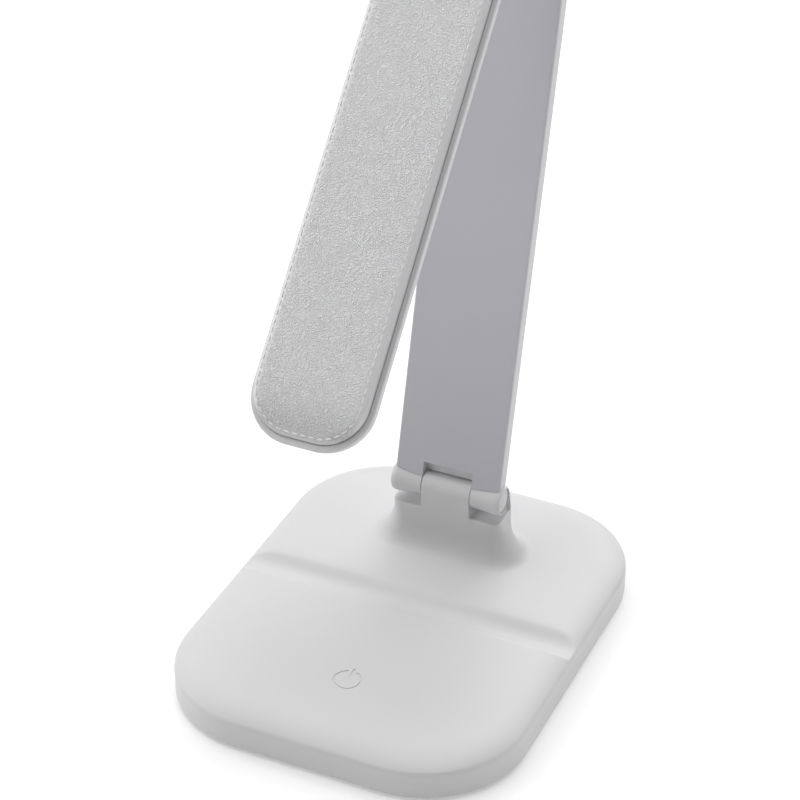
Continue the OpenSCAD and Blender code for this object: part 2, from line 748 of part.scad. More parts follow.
module washers() color([0.3, 0.3, 0.32]) both_sides() difference() {
    start = knuckle_half - washer_seat_t + seat;
    bar_x(washer_r, start, start + washer_t);
    bar_x(bush_in_r, start - over, start + washer_t + over);
}

module pin() color([0.78, 0.78, 0.8]) {
    bar_x(pin_r, -pocket_start - seat, nut_start + nut_t + thread_over);
    bar_x(pin_head_r, -pocket_start - pin_head_t, -pocket_start);
}

module disc_springs() color([0.55, 0.56, 0.58])
    translate([pocket_start, 0, 0]) rotate([0, 90, 0]) rotate_extrude()
        polygon([[pin_r + seat, disc_spring_t - disc_plate_t - seat], [pin_head_r, 0],
                 [pin_head_r, disc_plate_t], [pin_r + seat, disc_spring_t - seat]]);

module nut() color([0.62, 0.62, 0.64]) difference() {
    translate([nut_start, 0, 0]) rotate([0, 90, 0]) cylinder(r = nut_r, h = nut_t, $fn = 6);
    bar_x(pin_r + seat, nut_start - over, nut_start + nut_t + over);
}

module end_caps() color([0.93, 0.93, 0.94]) both_sides()
    bar_x(cap_r - seat, barrel_half - cap_t, barrel_half);

// The outside of one barrel: it swells towards its outer end and is rounded there
module barrel(grow = 0) {
    round_x = barrel_half - barrel_edge_l;
    swell = round_x - barrel_start;
    steps = 6;
    rotate([0, 90, 0]) rotate_extrude()
        polygon(concat(
            [[0, barrel_start - grow]],
            [for (i = [0 : steps - 1]) let (t = i / steps)
                [barrel_in_r + (barrel_out_r - barrel_in_r) * pow(t, barrel_swell) + grow,
                 barrel_start - grow * (1 - t) + swell * t]],
            [for (i = [0 : steps]) let (a = 90 * i / steps)
                [barrel_end_r + (barrel_out_r - barrel_end_r) * cos(a) + grow,
                 round_x + (barrel_edge_l + grow) * sin(a)]],
            [[0, barrel_half + grow]]));
}

module barrel_bores() both_sides() {
    bar_x(pin_r + seat, barrel_start - over, barrel_half);
    bar_x(pocket_r, pocket_start, barrel_half);
    bar_x(cap_r, barrel_half - cap_t - seat, barrel_half + over);
}

module at_both_ends() {
    children();
    translate([0, 0, arm_length]) children();
}

// What the arm leaves free at each end for the knuckle: a round seat, and a notch through the front
// that the tray's rear wall closes from behind
module notches() {
    half = barrel_start;
    clear_r = knuckle_r + swing_gap;
    depth = arm_t + arm_room_back;
    at_both_ends() bar_x(clear_r, -half, half);
    translate([-half, -arm_t, -barrel_out_r]) cube([2 * half, depth, barrel_out_r + clear_r]);
    translate([-half, -arm_t, 0]) cube([2 * half, arm_t + notch_floor_y, notch_depth]);
    translate([-half, -arm_t, arm_length - notch_depth])
        cube([2 * half, depth, notch_depth + barrel_out_r]);
}

// ---- arm, in its own frame ----

module at_stakes() for (i = [0 : stake_count - 1])
    translate([0, 0, stake_in + i * (arm_length - 2 * stake_in) / (stake_count - 1)]) children();

module arm_shell() on_arm() color([0.92, 0.92, 0.93]) {
    difference() {
        union() {
            difference() {
                linear_extrude(arm_length) outline2d(arm_half, panel_back, arm_back, sharp_r, arm_back_r);
                translate([-arm_room_half, panel_back - over, block_end])
                    cube([2 * arm_room_half, arm_room_back - panel_back + over, arm_length - 2 * block_end]);
            }
            at_both_ends() both_sides() barrel();
        }
        notches();
        at_both_ends() barrel_bores();
    }
    // stakes that rivet the steel strip to the tray
    at_stakes() {
        bar_y(stake_head_r, core_front - stake_head_t, core_front);
        bar_y(stake_r, core_front - seat, arm_back - stake_cover);
    }
}

module arm_front_panel() on_arm() color([0.9, 0.9, 0.91]) difference() {
    linear_extrude(arm_length) outline2d(arm_half, arm_front, panel_back - seat, panel_edge_r, sharp_r);
    notches();
    at_both_ends() both_sides() barrel(slip);
}

module arm_core() on_arm() color([0.6, 0.61, 0.63]) difference() {
    translate([-core_w / 2, core_front, core_margin]) cube([core_w, core_t, arm_length - 2 * core_margin]);
    at_stakes() bar_y(stake_r + seat, core_front - over, core_front + core_t + over);
}

module arm_ribbon() on_arm() color([0.85, 0.55, 0.25])
    translate([stake_head_r + 1, core_front - ribbon_t - seat, core_margin - arm_ribbon_out])
        cube([ribbon_w, ribbon_t, arm_length - 2 * core_margin + 2 * arm_ribbon_out]);

module lower_bush() on_arm() bush();
module lower_washers() on_arm() washers();
module lower_pin() on_arm() pin();
module lower_disc_springs() on_arm() disc_springs();
module lower_nut() on_arm() nut();
module lower_end_caps() on_arm() end_caps();
module upper_bush() on_head() bush();
module upper_washers() on_head() washers();
module upper_pin() on_upper_end() pin();
module upper_disc_springs() on_upper_end() disc_springs();
module upper_nut() on_upper_end() nut();
module upper_end_caps() on_upper_end() end_caps();

// ---- head, in its own frame ----

// Turns a piece drawn flat, its length along -Y and its thickness along Z, into the head's frame:
// drawn height 0 is the hinge axis's plane and a greater height is nearer the leather
module lay_head() rotate([90, 0, 0]) children();

// A flat piece of the head between two distances from the axis and two heights
module head_plate(half_w, near, far, near_corner, far_corner, y0, y1)
    lay_head() plate(half_w, -far, -near, far_corner, near_corner, -y0, -y1);

function head_ring(inset) = ring(head_half, -head_length, -head_start, tip_r, near_r + head_belly, inset);

module head_skin() {
    depth = lit_y - rim_y;
    steps = 7;
    lay_head() skin(concat(
        [for (i = [0 : steps]) let (a = 90 * (1 - i / steps))
            lift(head_ring(head_belly * (1 - cos(a))), -lit_y + depth * (1 - sin(a)))],
        [lift(head_ring(rim_bevel), -rim_y)]));
}

// The tongue that carries the head on its hinge, inside the arm's notch
module head_knuckle() {
    upper_a = 155;
    lower_a = -35;
    inner_y = lit_y - sharp_r;
    outer_y = rim_y + near_r / 4;
    bar_x(knuckle_r, -knuckle_half, knuckle_half);
    rotate([90, 0, 90]) translate([0, 0, -knuckle_half]) linear_extrude(knuckle_w)
        polygon([knuckle_r * [cos(upper_a), sin(upper_a)], knuckle_r * [cos(lower_a), sin(lower_a)],
                 [inner_y, -head_start], [inner_y, -head_start - tongue_l],
                 [outer_y, -head_start - tongue_l], [outer_y, -head_start - over]]);
}

module head_frame() on_head() color([0.94, 0.94, 0.95]) {
    difference() {
        union() {
            difference() {
                union() {
                    head_skin();
                    head_knuckle();
                }
                // seat of the diffuser, then the space for the LEDs behind it
                head_plate(diffuser_half + slip, diffuser_near - slip, diffuser_far + slip, near_r,
                           tip_r - head_belly, lit_y + over, diffuser_back_y);
                head_plate(diffuser_half - head_room_in, diffuser_near + head_room_in,
                           diffuser_far - head_room_in, near_r, tip_r - head_belly - head_room_in,
                           lit_y, floor_back_y);
                // seat of the leather and its carrier
                head_plate(head_half - rim_w, head_start + rim_w, head_length - rim_tip_w, near_r,
                           tip_r - rim_w, seat_y, rim_y - over);
            }
            at_led_screws() bar_y(post_r, floor_back_y - seat, led_board_back_y);
        }
        at_led_screws() bar_y(led_screw_r + seat, led_board_y - led_screw_l - slip, led_board_y);
        knuckle_bores();
    }
}

module at_led_screws() for (i = [0.5, led_count - 1.5])
    translate([0, 0, -led_first - i * led_pitch]) children();

// The outline of the leather's foot, set in by `inset`
function leather_ring(inset) = ring(leather_half, -leather_far, -leather_near, leather_far_r, near_r, inset);

// What lies under the pad's side view, which falls towards the tip, at a drawn height `top` elsewhere
module under_slope(top) {
    steps = 10;
    rotate([90, 0, 90]) translate([0, 0, -head_half]) linear_extrude(head_w)
        polygon(concat([[-head_length, 0], [0, 0], [0, top]],
            [for (i = [0 : steps]) let (t = i / steps)
                [slope_l * (1 - t) - head_length, top - tip_drop * pow(t, 3)]]));
}

// A solid inside the leather with a rounded upper edge, its foot at the drawn height `foot`
module carrier(inset, foot, top, edge) intersection() {
    steps = 4;
    skin(concat(
        [lift(leather_ring(inset), foot)],
        [for (i = [0 : steps]) let (a = 90 * i / steps)
            lift(leather_ring(inset + edge * (1 - cos(a))), top - edge * (1 - sin(a)))]));
    under_slope(top);
}

// The tray under the leather, open towards the head
module trim_plate() on_head() color([0.8, 0.8, 0.8]) lay_head() difference() {
    carrier(trim_in, seat - seat_y, trim_top_z, trim_edge_r);
    intersection() {
        plate(leather_half - trim_in - trim_t, trim_in + trim_t - leather_far,
              -leather_near - trim_in - trim_t, leather_far_r - trim_in - trim_t, near_r - trim_in,
              -seat_y - over, trim_top_z - trim_t);
        under_slope(trim_top_z - trim_t);
    }
}

// The leather, from its foot in the seat out to its widest line and over onto its face
module leather_cover() on_head() color([0.9, 0.9, 0.89]) lay_head() difference() {
    steps = 6;
    high = leather_wide_z - leather_foot_z;
    intersection() {
        skin(concat(
            [lift(leather_ring(0), seat - seat_y), lift(leather_ring(0), leather_foot_z)],
            [for (i = [1 : steps]) let (a = 90 * i / steps)
                lift(leather_ring(-leather_bulge * sin(a)), leather_foot_z + high * (1 - cos(a)))],
            [for (i = [1 : steps]) let (a = 90 * i / steps)
                lift(leather_ring(leather_edge_r * (1 - cos(a)) - leather_bulge),
                     leather_wide_z + leather_edge_r * sin(a))]));
        under_slope(-leather_y);
    }
    carrier(trim_in - seat, -seat_y - over, trim_top_z + seat, trim_edge_r);
}

module led_board() on_head() color([0.95, 0.95, 0.95]) difference() {
    head_plate(led_board_w / 2, led_board_near, led_board_far, board_corner_r, board_corner_r,
               led_board_y, led_board_back_y + seat);
    at_led_screws() bar_y(led_screw_r + slip, led_board_back_y - over, led_board_y + over);
}

module at_leds() for (row = [0 : led_rows - 1], i = [0 : led_count - 1])
    translate([(row - (led_rows - 1) / 2) * led_row_gap, led_board_y, -led_first - i * led_pitch]) children();

module led_chips() on_head() color([0.98, 0.93, 0.6])
    at_leds() translate([-led_size / 2, seat, -led_size / 2]) cube([led_size, led_t, led_size]);

module led_screws() on_head() color([0.72, 0.72, 0.74]) at_led_screws() {
    bar_y(led_screw_r, led_board_y - led_screw_l, led_board_y + seat);
    bar_y(2 * led_screw_r, led_board_y + seat, led_board_y + led_screw_r);
}

module reflector() on_head() color([0.97, 0.97, 0.97]) {
    inset = head_room_in + slip;
    difference() {
        head_plate(diffuser_half - inset, diffuser_near + inset, diffuser_far - inset, near_r,
                   tip_r - head_belly - inset, reflector_y + reflector_t, reflector_y);
        at_leds() translate([-reflector_hole / 2, -over, -reflector_hole / 2])
            cube([reflector_hole, 3 * over, reflector_hole]);
        at_led_screws() bar_y(2 * led_screw_r + slip, reflector_y - over, reflector_y + over);
    }
}

module diffuser() on_head() color([0.97, 0.97, 0.95])
    head_plate(diffuser_half, diffuser_near, diffuser_far, near_r, tip_r - head_belly - slip,
               lit_y - seat, diffuser_back_y + seat);

module head_ribbon() on_head() color([0.85, 0.55, 0.25])
    translate([-ribbon_w / 2, led_board_back_y - ribbon_t, -led_board_near - led_ribbon_in])
        cube([ribbon_w, ribbon_t, led_board_near - diffuser_near - 2 * head_room_in + led_ribbon_in]);

base_cover();
base_plate();
foot_pad();
base_screws();
counterweight();
weight_screws();
battery();
battery_tape();
main_board();
board_parts();
usb_socket();
board_screws();
touch_board();
touch_electrode();
touch_ribbon();
neck_bracket();
bracket_screws();
neck_ribbon();
lower_bush();
lower_washers();
arm_shell();
arm_front_panel();
arm_core();
arm_ribbon();
lower_pin();
lower_disc_springs();
lower_nut();
lower_end_caps();
upper_pin();
upper_disc_springs();
upper_nut();
upper_end_caps();
head_frame();
trim_plate();
leather_cover();
led_board();
led_chips();
led_screws();
reflector();
diffuser();
head_ribbon();
upper_bush();
upper_washers();
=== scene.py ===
# %% [markdown]
# # Dressing a folding desk lamp
# The lamp is a rounded base with a pen groove and a touch key, a flat arm on a stiff hinge, and a
# slim lamp head with a stitched leather face. Its working shapes, sizes and hinges already exist as
# plain solids. This lesson gives them the soft edges, the leather, the thread and the finishes that
# someone holding the lamp would see. Every shape is drawn in millimetres and turned into metres once,
# when it is put in its place.

# %% Load the solids
from math import cos, pi, radians, sin, tan

import bmesh
import bpy
import numpy as np
from mathutils import Matrix, Vector


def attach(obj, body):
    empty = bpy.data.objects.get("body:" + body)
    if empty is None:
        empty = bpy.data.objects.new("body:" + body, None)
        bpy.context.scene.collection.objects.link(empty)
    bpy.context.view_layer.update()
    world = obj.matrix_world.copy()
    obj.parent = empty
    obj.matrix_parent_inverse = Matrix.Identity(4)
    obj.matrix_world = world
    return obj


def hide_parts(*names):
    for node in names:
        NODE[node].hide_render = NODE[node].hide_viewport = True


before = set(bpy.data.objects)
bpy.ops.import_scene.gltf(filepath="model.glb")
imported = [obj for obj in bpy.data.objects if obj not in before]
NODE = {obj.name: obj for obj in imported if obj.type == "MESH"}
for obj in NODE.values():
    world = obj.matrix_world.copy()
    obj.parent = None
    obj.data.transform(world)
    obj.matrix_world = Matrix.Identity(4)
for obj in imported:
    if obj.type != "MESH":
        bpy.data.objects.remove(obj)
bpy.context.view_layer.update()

# %% [markdown]
# ## Three frames
# The base stands on the desk, the arm leans back on the lower hinge, and the head leans forward from
# the upper one. Each piece is easiest to draw lying straight in its own frame: the arm upright along
# Z, the head flat on its back along Y. One matrix per body then puts the drawing in its place.

# %% Frames of the base, the arm and the head
MM = Matrix.Scale(0.001, 4)
ARM_LEAN, HEAD_LEAN, ARM_LENGTH = 14.3, 42.8, 264.3
LOWER_AXIS = Vector((0, 35.6, 36.6))
UPPER_AXIS = LOWER_AXIS + Matrix.Rotation(radians(-ARM_LEAN), 3, "X") @ Vector((0, 0, ARM_LENGTH))

BASE = MM
ARM = MM @ Matrix.Translation(LOWER_AXIS) @ Matrix.Rotation(radians(-ARM_LEAN), 4, "X")
UPPER = MM @ Matrix.Translation(UPPER_AXIS) @ Matrix.Rotation(radians(-HEAD_LEAN), 4, "X")
HEAD = UPPER @ Matrix.Rotation(radians(90), 4, "X")
print("upper hinge at", [round(v, 2) for v in UPPER_AXIS], "mm")

# %% [markdown]
# ## Studio
# A white product is shown on a white sweep under large soft lamps. The broadest light comes from
# above and from behind, so the tops are bright and the faces turned to the viewer fall to grey. Lamps
# high on the left, low at both sides and far out in front give each wall its own step of tone, and
# the floor sends light back up under the head. The floor glows a little, as a lit sweep does, which
# keeps it white.

# %% Camera
camera = bpy.data.objects.new("camera", bpy.data.cameras.new("camera"))
camera.location = (0.275195, -0.606340, 0.530242)
camera.rotation_euler = (radians(56.705), 0, radians(24.584))
camera.data.lens = 114.366
camera.data.clip_start = 0.05
bpy.context.scene.collection.objects.link(camera)
bpy.context.scene.camera = camera
bpy.context.scene.view_settings.view_transform = "Standard"

# %% Lamps
LAMP_AIM = Vector((0, 0, 0.1))


def soft_lamp(name, place, size, watts):
    """A square area lamp of one side's length, aimed a little above the base."""
    data = bpy.data.lights.new(name, "AREA")
    data.size, data.energy = size, watts
    lamp = bpy.data.objects.new(name, data)
    lamp.location = place
    lamp.rotation_euler = (LAMP_AIM - Vector(place)).to_track_quat("-Z", "Y").to_euler()
    bpy.context.scene.collection.objects.link(lamp)


soft_lamp("above", (0, 0.1, 1.9), 1.4, 19.5)
soft_lamp("behind_high", (0, 1.2, 1.5), 1.3, 2.1)
soft_lamp("behind", (0, 1.6, 1.0), 1.2, 13.3)
soft_lamp("above_left", (-1.3, 0.1, 1.4), 1.3, 9.6)
soft_lamp("behind_left", (-1.0, 1.1, 1.3), 1.2, 6.1)
soft_lamp("behind_right", (1.0, 1.1, 1.3), 1.2, 2.7)
soft_lamp("left_panel", (-1.8, 0.1, 0.6), 1.1, 4.5)
soft_lamp("right_panel", (1.8, 0.1, 0.6), 1.1, 7.8)
soft_lamp("front_fill", (-1.2, -1.2, 0.9), 1.1, 9.2)

# %% [markdown]
# ## A small language for finishes
# A finish is worked out from numbers that vary over the surface. Written as node links that is hard
# to read, so a `Wire` wraps a socket and lets ordinary arithmetic add the Math nodes. `Nodes.add`
# makes any other node: its type, then its settings, then what goes into its sockets.

# %% Wires and nodes
class Wire:
    """A socket that can be added, subtracted, multiplied and divided like a number."""

    def __init__(self, nodes, socket):
        self.nodes, self.socket = nodes, socket

    def _maths(self, operation, a, b):
        return self.nodes.add("ShaderNodeMath", {"operation": operation}, {0: a, 1: b})

    def __add__(self, other):
        return self._maths("ADD", self, other)

    def __sub__(self, other):
        return self._maths("SUBTRACT", self, other)

    def __rsub__(self, other):
        return self._maths("SUBTRACT", other, self)

    def __mul__(self, other):
        return self._maths("MULTIPLY", self, other)

    def __truediv__(self, other):
        return self._maths("DIVIDE", self, other)


class Nodes:
    """The nodes of one tree, for a finish or for Geometry Nodes."""

    def __init__(self, tree):
        self.tree = tree

    def add(self, kind, settings=None, sockets=None, out=0):
        node = self.tree.nodes.new(kind)
        for name, value in (settings or {}).items():
            setattr(node, name, value)
        for name, value in (sockets or {}).items():
            if isinstance(value, Wire):
                self.tree.links.new(value.socket, node.inputs[name])
            else:
                node.inputs[name].default_value = value
        return Wire(self, node.outputs[out])


# %% [markdown]
# ## Moulded plastic
# Almost everything that shows is satin plastic out of a spark-eroded mould. Close up it has a fine
# even grain that breaks up reflections, its gloss drifts a little where hands and the mould wall left
# it smoother, and its tone drifts by a percent or so. The grain goes into a bump, the drift into
# roughness and colour, and all of it is sized in metres on Object coordinates.

# %% The finish class
class Finish(Nodes):
    """A material with one Principled shader, and the drifts that most finishes share."""

    def __init__(self, name, **constants):
        self.material = bpy.data.materials.new(name)
        self.material.use_nodes = True
        super().__init__(self.material.node_tree)
        self.shader = self.tree.nodes["Principled BSDF"]
        for socket, value in constants.items():
            self.shader.inputs[socket.replace("_", " ")].default_value = value
        self.place = self.add("ShaderNodeTexCoord", out=3)

    def feed(self, socket, wire):
        self.tree.links.new(wire.socket, self.shader.inputs[socket])
        return self

    def noise(self, size, detail=2.0, stretch=None):
        """Noise whose blotches are about `size` metres across, from 0 to 1."""
        place = self.place
        if stretch:
            place = self.add("ShaderNodeMapping", {"vector_type": "POINT"},
                             {"Vector": place, "Scale": stretch})
        return self.add("ShaderNodeTexNoise", {}, {"Vector": place, "Scale": 1 / size, "Detail": detail})

    def mix(self, factor, a, b):
        """Colour a where the factor is 0 and b where it is 1."""
        return self.add("ShaderNodeMix", {"data_type": "RGBA"}, {0: factor, 6: a, 7: b}, out=2)

    def cells(self, vector, scale, **sockets):
        """Distance to the walls of angular cells."""
        return self.add("ShaderNodeTexVoronoi", {"feature": "DISTANCE_TO_EDGE"},
                        {"Vector": vector, "Scale": scale, **sockets})

    def eased(self, value, low, high, start=0.0, end=1.0):
        """Runs softly from start to end as the value runs from low to high."""
        return self.add("ShaderNodeMapRange", {"interpolation_type": "SMOOTHSTEP"},
                        {0: value, 1: low, 2: high, 3: start, 4: end})

    def shades(self, color, spread, size):
        """The colour, drifting lighter and darker by `spread` over blotches of `size`."""
        dark, light = ([c * (1 + s * spread) for c in color] + [1] for s in (-1, 1))
        return self.feed("Base Color", self.mix(self.noise(size), dark, light))

    def gloss(self, roughness, spread, size):
        return self.feed("Roughness", self.noise(size, 3.0) * (2 * spread) + (roughness - spread))

    def bump(self, height, depth, strength=1.0):
        """Raises the surface by `depth` metres where the height is 1."""
        node = self.add("ShaderNodeBump", {}, {"Strength": strength, "Distance": depth, "Height": height})
        return self.feed("Normal", node)


def moulded(name, color, roughness=0.45, grain=0.00035, depth=0.000012, spread=0.012):
    """Satin plastic with the mould's spark-eroded grain."""
    finish = Finish(name, Specular_IOR_Level=0.42)
    finish.shades(color, spread, 0.03).gloss(roughness, 0.05, 0.012)
    return finish.bump(finish.noise(grain, 1.0), depth, 0.6).material


WHITE = (0.64, 0.64, 0.648)
white_plastic = moulded("white_plastic", WHITE)
white_panel = moulded("white_panel", (0.508, 0.503, 0.533), 0.5)
print("finishes:", white_plastic.name, white_panel.name)

# %% [markdown]
# ## Drawing by loops
# The base, the head and the leather are all rounded rectangles drawn in towards their middle, with a
# height that depends on how far in they have come. So one helper draws matching loops, and another
# skins a stack of them. The flat inside each end is filled with rows from side to side, which keeps a
# groove across the top crisp, because rows can be as close together as the groove needs.

# %% Matching loops
ARC, ACROSS, LEAST_R = 24, 36, 0.3


def loop(half, front, rear, r_front, r_rear, inset, sides):
    """Points round a rounded rectangle drawn in by an inset, anticlockwise from its front edge."""
    def bend(x, y, r, start):
        a = radians(start) + np.linspace(0, pi / 2, ARC + 1)
        return np.c_[x + r * np.cos(a), y + r * np.sin(a)]
    rf, rr = max(r_front - inset, LEAST_R), max(r_rear - inset, LEAST_R)
    x, lo, hi = half - inset, front + inset, rear - inset
    right = np.vstack([bend(x - rf, lo + rf, rf, -90), np.c_[np.full(len(sides), x), sides],
                       bend(x - rr, hi - rr, rr, 0)])
    share = np.linspace(-1, 1, ACROSS + 1)[1:-1]
    return np.vstack([np.c_[(x - rf) * share, np.full(ACROSS - 1, lo)], right,
                      np.c_[(rr - x) * share, np.full(ACROSS - 1, hi)], right[::-1] * (-1, 1)])


def raised(points, height):
    return np.c_[points, np.broadcast_to(height, len(points))]


def level(height):
    """A height that is the same everywhere."""
    return lambda x, y: np.full(len(x), height)


def made(name, points, faces, sharp=30):
    """A mesh object from points and faces, shaded smooth up to the sharp angle."""
    mesh = bpy.data.meshes.new(name)
    mesh.from_pydata([tuple(map(float, p)) for p in points], [], faces)
    return soften(linked(name, mesh), sharp)


def linked(name, mesh):
    piece = bpy.data.objects.new(name, mesh)
    bpy.context.scene.collection.objects.link(piece)
    return piece


def soften(piece, sharp=30):
    piece.data.shade_smooth()
    piece.data.set_sharp_from_angle(angle=radians(sharp))
    return piece


# %% Skins over a stack of loops
def skinned(name, loops, first_height, last_height, sharp=30):
    """A closed skin from an inner flat, over the loops, to an outer flat, both filled in rows."""
    count = len(loops[0])
    points = [p for ring in loops for p in ring]
    faces = []
    for k in range(len(loops) - 1):
        for i in range(count):
            j = (i + 1) % count
            faces.append((k * count + i, k * count + j, (k + 1) * count + j, (k + 1) * count + i))
    side = (count - 2 * (ACROSS - 1)) // 2
    share = np.linspace(0, 1, ACROSS + 1)[1:-1, None]
    outermost = (len(loops) - 1) * count
    for start, height, flip in ((0, first_height, True), (outermost, last_height, False)):
        front = list(range(start, start + ACROSS - 1))
        right = [start + ACROSS - 1 + i for i in range(side)]
        rear = [right[-1] + 1 + i for i in range(ACROSS - 1)]
        left = [rear[-1] + side - i for i in range(side)]
        rows = [[left[0], *front, right[0]]]
        for i in range(1, side - 1):
            a, b = np.array(points[left[i]]), np.array(points[right[i]])
            new = a + (b - a) * share
            new[:, 2] = height(new[:, 0], new[:, 1])
            rows.append([left[i], *range(len(points), len(points) + ACROSS - 1), right[i]])
            points.extend(new)
        rows.append([left[-1], *rear[::-1], right[-1]])
        for low, high in zip(rows, rows[1:]):
            for j in range(ACROSS):
                face = (low[j], low[j + 1], high[j + 1], high[j])
                faces.append(face[::-1] if flip else face)
    return made(name, points, faces, sharp)


# %% [markdown]
# ## Plain solids and joining them
# Hinge barrels, tongues, seats and slots are simple turned or extruded solids. They are joined or cut
# with the Boolean modifier, as a pattern maker glues and mills a block, and the joint is worked out
# before the piece goes to its place.

# %% Extruded and turned solids
def extruded(name, outline, axis, start, end):
    """A prism of a closed outline along X, Y or Z; the outline runs in the other two, in order."""
    n, spot = len(outline), "XYZ".index(axis)
    points = [list(p) for p in outline] * 2
    points = [p[:spot] + [start if i < n else end] + p[spot:] for i, p in enumerate(points)]
    faces = [tuple(range(n)), tuple(range(n, 2 * n))]
    faces += [(i, (i + 1) % n, n + (i + 1) % n, n + i) for i in range(n)]
    return outward(made(name, points, faces))


def outward(piece):
    """Merges doubles and turns every face outwards."""
    mesh = bmesh.new()
    mesh.from_mesh(piece.data)
    bmesh.ops.remove_doubles(mesh, verts=mesh.verts, dist=1e-5)
    bmesh.ops.recalc_face_normals(mesh, faces=mesh.faces)
    mesh.to_mesh(piece.data)
    mesh.free()
    return piece


def block(x0, x1, y0, y1, z0, z1):
    return extruded("block", [(x0, y0), (x1, y0), (x1, y1), (x0, y1)], "Z", z0, z1)


def circle(r, cx=0.0, cy=0.0, n=96):
    return [(cx + r * cos(2 * pi * i / n), cy + r * sin(2 * pi * i / n)) for i in range(n)]


def rod(r, x0, x1, y=0.0, z=0.0):
    return extruded("rod", circle(r, y, z), "X", x0, x1)


def slot_outline(half, r, n=24):
    """A slot with round ends, `half` long each way."""
    return [(side * (half - r) + r * cos(a), r * sin(a)) for side, start in ((1, -pi / 2), (-1, pi / 2))
            for a in np.linspace(start, start + pi, n)]


def turned(name, profile, n=96):
    """A solid turned about X, from (x, radius) pairs that start and end on the axis."""
    points = [(profile[0][0], 0, 0)]
    for x, r in profile[1:-1]:
        points += [(x, r * cos(2 * pi * i / n), r * sin(2 * pi * i / n)) for i in range(n)]
    points.append((profile[-1][0], 0, 0))
    faces = [(0, 1 + i, 1 + (i + 1) % n) for i in range(n)]
    for k in range(len(profile) - 3):
        a, b = 1 + k * n, 1 + (k + 1) * n
        faces += [(a + i, b + i, b + (i + 1) % n, a + (i + 1) % n) for i in range(n)]
    last = 1 + (len(profile) - 3) * n
    faces += [(last + i, len(points) - 1, last + (i + 1) % n) for i in range(n)]
    return outward(made(name, points, faces))


# %% Joining, cutting and placing
def settled(piece):
    """Turns a piece with live modifiers into a plain mesh."""
    graph = bpy.context.evaluated_depsgraph_get()
    mesh = bpy.data.meshes.new_from_object(piece.evaluated_get(graph))
    piece.modifiers.clear()
    old, piece.data = piece.data, mesh
    if old.users == 0:
        (bpy.data.meshes if isinstance(old, bpy.types.Mesh) else bpy.data.curves).remove(old)
    return piece


def combined(piece, how, *tools):
    for tool in tools:
        step = piece.modifiers.new("step", "BOOLEAN")
        step.operation, step.solver, step.object = how, "MANIFOLD", tool
        settled(piece)
        bpy.data.objects.remove(tool)
    return piece


def joined(piece, *tools):
    return combined(piece, "UNION", *tools)


def cut(piece, *tools):
    return combined(piece, "DIFFERENCE", *tools)


def both_sides(make):
    """A solid and its mirror image."""
    right, left = make(), make()
    left.data.transform(Matrix.Scale(-1, 4, (1, 0, 0)))
    left.data.flip_normals()
    return right, left


def finished(piece, name, where, body, finish, slot, *nodes, sharp=30):
    """Puts a drawn piece in its place, on its body, in its finish."""
    piece.name = piece.data.name = name
    piece.data.transform(where)
    soften(piece, sharp)
    piece.data.materials.clear()
    piece.data.materials.append(finish)
    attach(piece, body)
    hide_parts(*nodes)
    size = np.ptp([v.co * 1000 for v in piece.data.vertices], axis=0)
    print(f"{name}: {len(piece.data.polygons)} faces, {size.round(1)} mm")
    return piece


# %% [markdown]
# ## The base's top
# The wall stands upright to 9.4 mm, turns over a 2 mm edge, and then rises through a wide soft roll to
# a top that is almost flat. The pen groove lies across it: a short steep front wall, a flat floor and
# an easy slope at the back. The lower of the two heights is the surface, joined by a small radius.

# %% Heights of the base
BASE_HALF, BASE_REAR, BASE_CORNER = 60, 76, 35
BASE_OUTLINE = (BASE_HALF, -BASE_REAR, BASE_REAR, BASE_CORNER, BASE_CORNER)
WALL_TOP, EDGE_R, EDGE_TURN = 9.4, 2.0, radians(58)
ROLL_IN, ROLL, TOP, CROWN = EDGE_R * (1 - cos(EDGE_TURN)), 13.0, 13.7, 0.2
ROLL_TOP = TOP - CROWN
RISE = ROLL_TOP - WALL_TOP - EDGE_R * sin(EDGE_TURN)
POWER = (ROLL - ROLL_IN) / RISE / tan(EDGE_TURN)
GROOVE = [(-6.6, 15.4), (-5.4, 13.8), (-4.5, 12.4), (-3.6, 11.3), (-2.7, 10.95), (0.2, 10.93),
          (1.3, 10.97), (2.75, 11.26), (3.95, 11.76), (5.04, 12.36), (6.15, 12.95), (7.45, 13.42),
          (9.1, 13.72), (12.5, 14.3)]
GROOVE_FRONT, GROOVE_REAR, NO_GROOVE = -8, 14, 99.0
ROOF, WALL, LIP, LIP_R, SOFT_R = 1.4, 2.0, -4.0, 0.15, 0.5


def groove(y):
    """The groove's height along Y, its corners eased over 1.5 mm each way."""
    step, reach, margin = 0.05, 30, 4
    fine = np.arange(GROOVE_FRONT - margin, GROOVE_REAR + margin, step)
    floor = np.interp(fine, *zip(*GROOVE))
    spread = np.exp(-np.linspace(-3, 3, 2 * reach + 1) ** 2 / 2)
    eased = np.convolve(np.pad(floor, reach, mode="edge"), spread / spread.sum(), "valid")
    return np.where((y < GROOVE_FRONT) | (y > GROOVE_REAR), NO_GROOVE, np.interp(y, fine, eased))


def lower(a, b, radius):
    """The lower of two heights, blended where they cross."""
    h = np.clip(0.5 + (b - a) / (2 * radius), 0, 1)
    return b + (a - b) * h - radius * h * (1 - h)


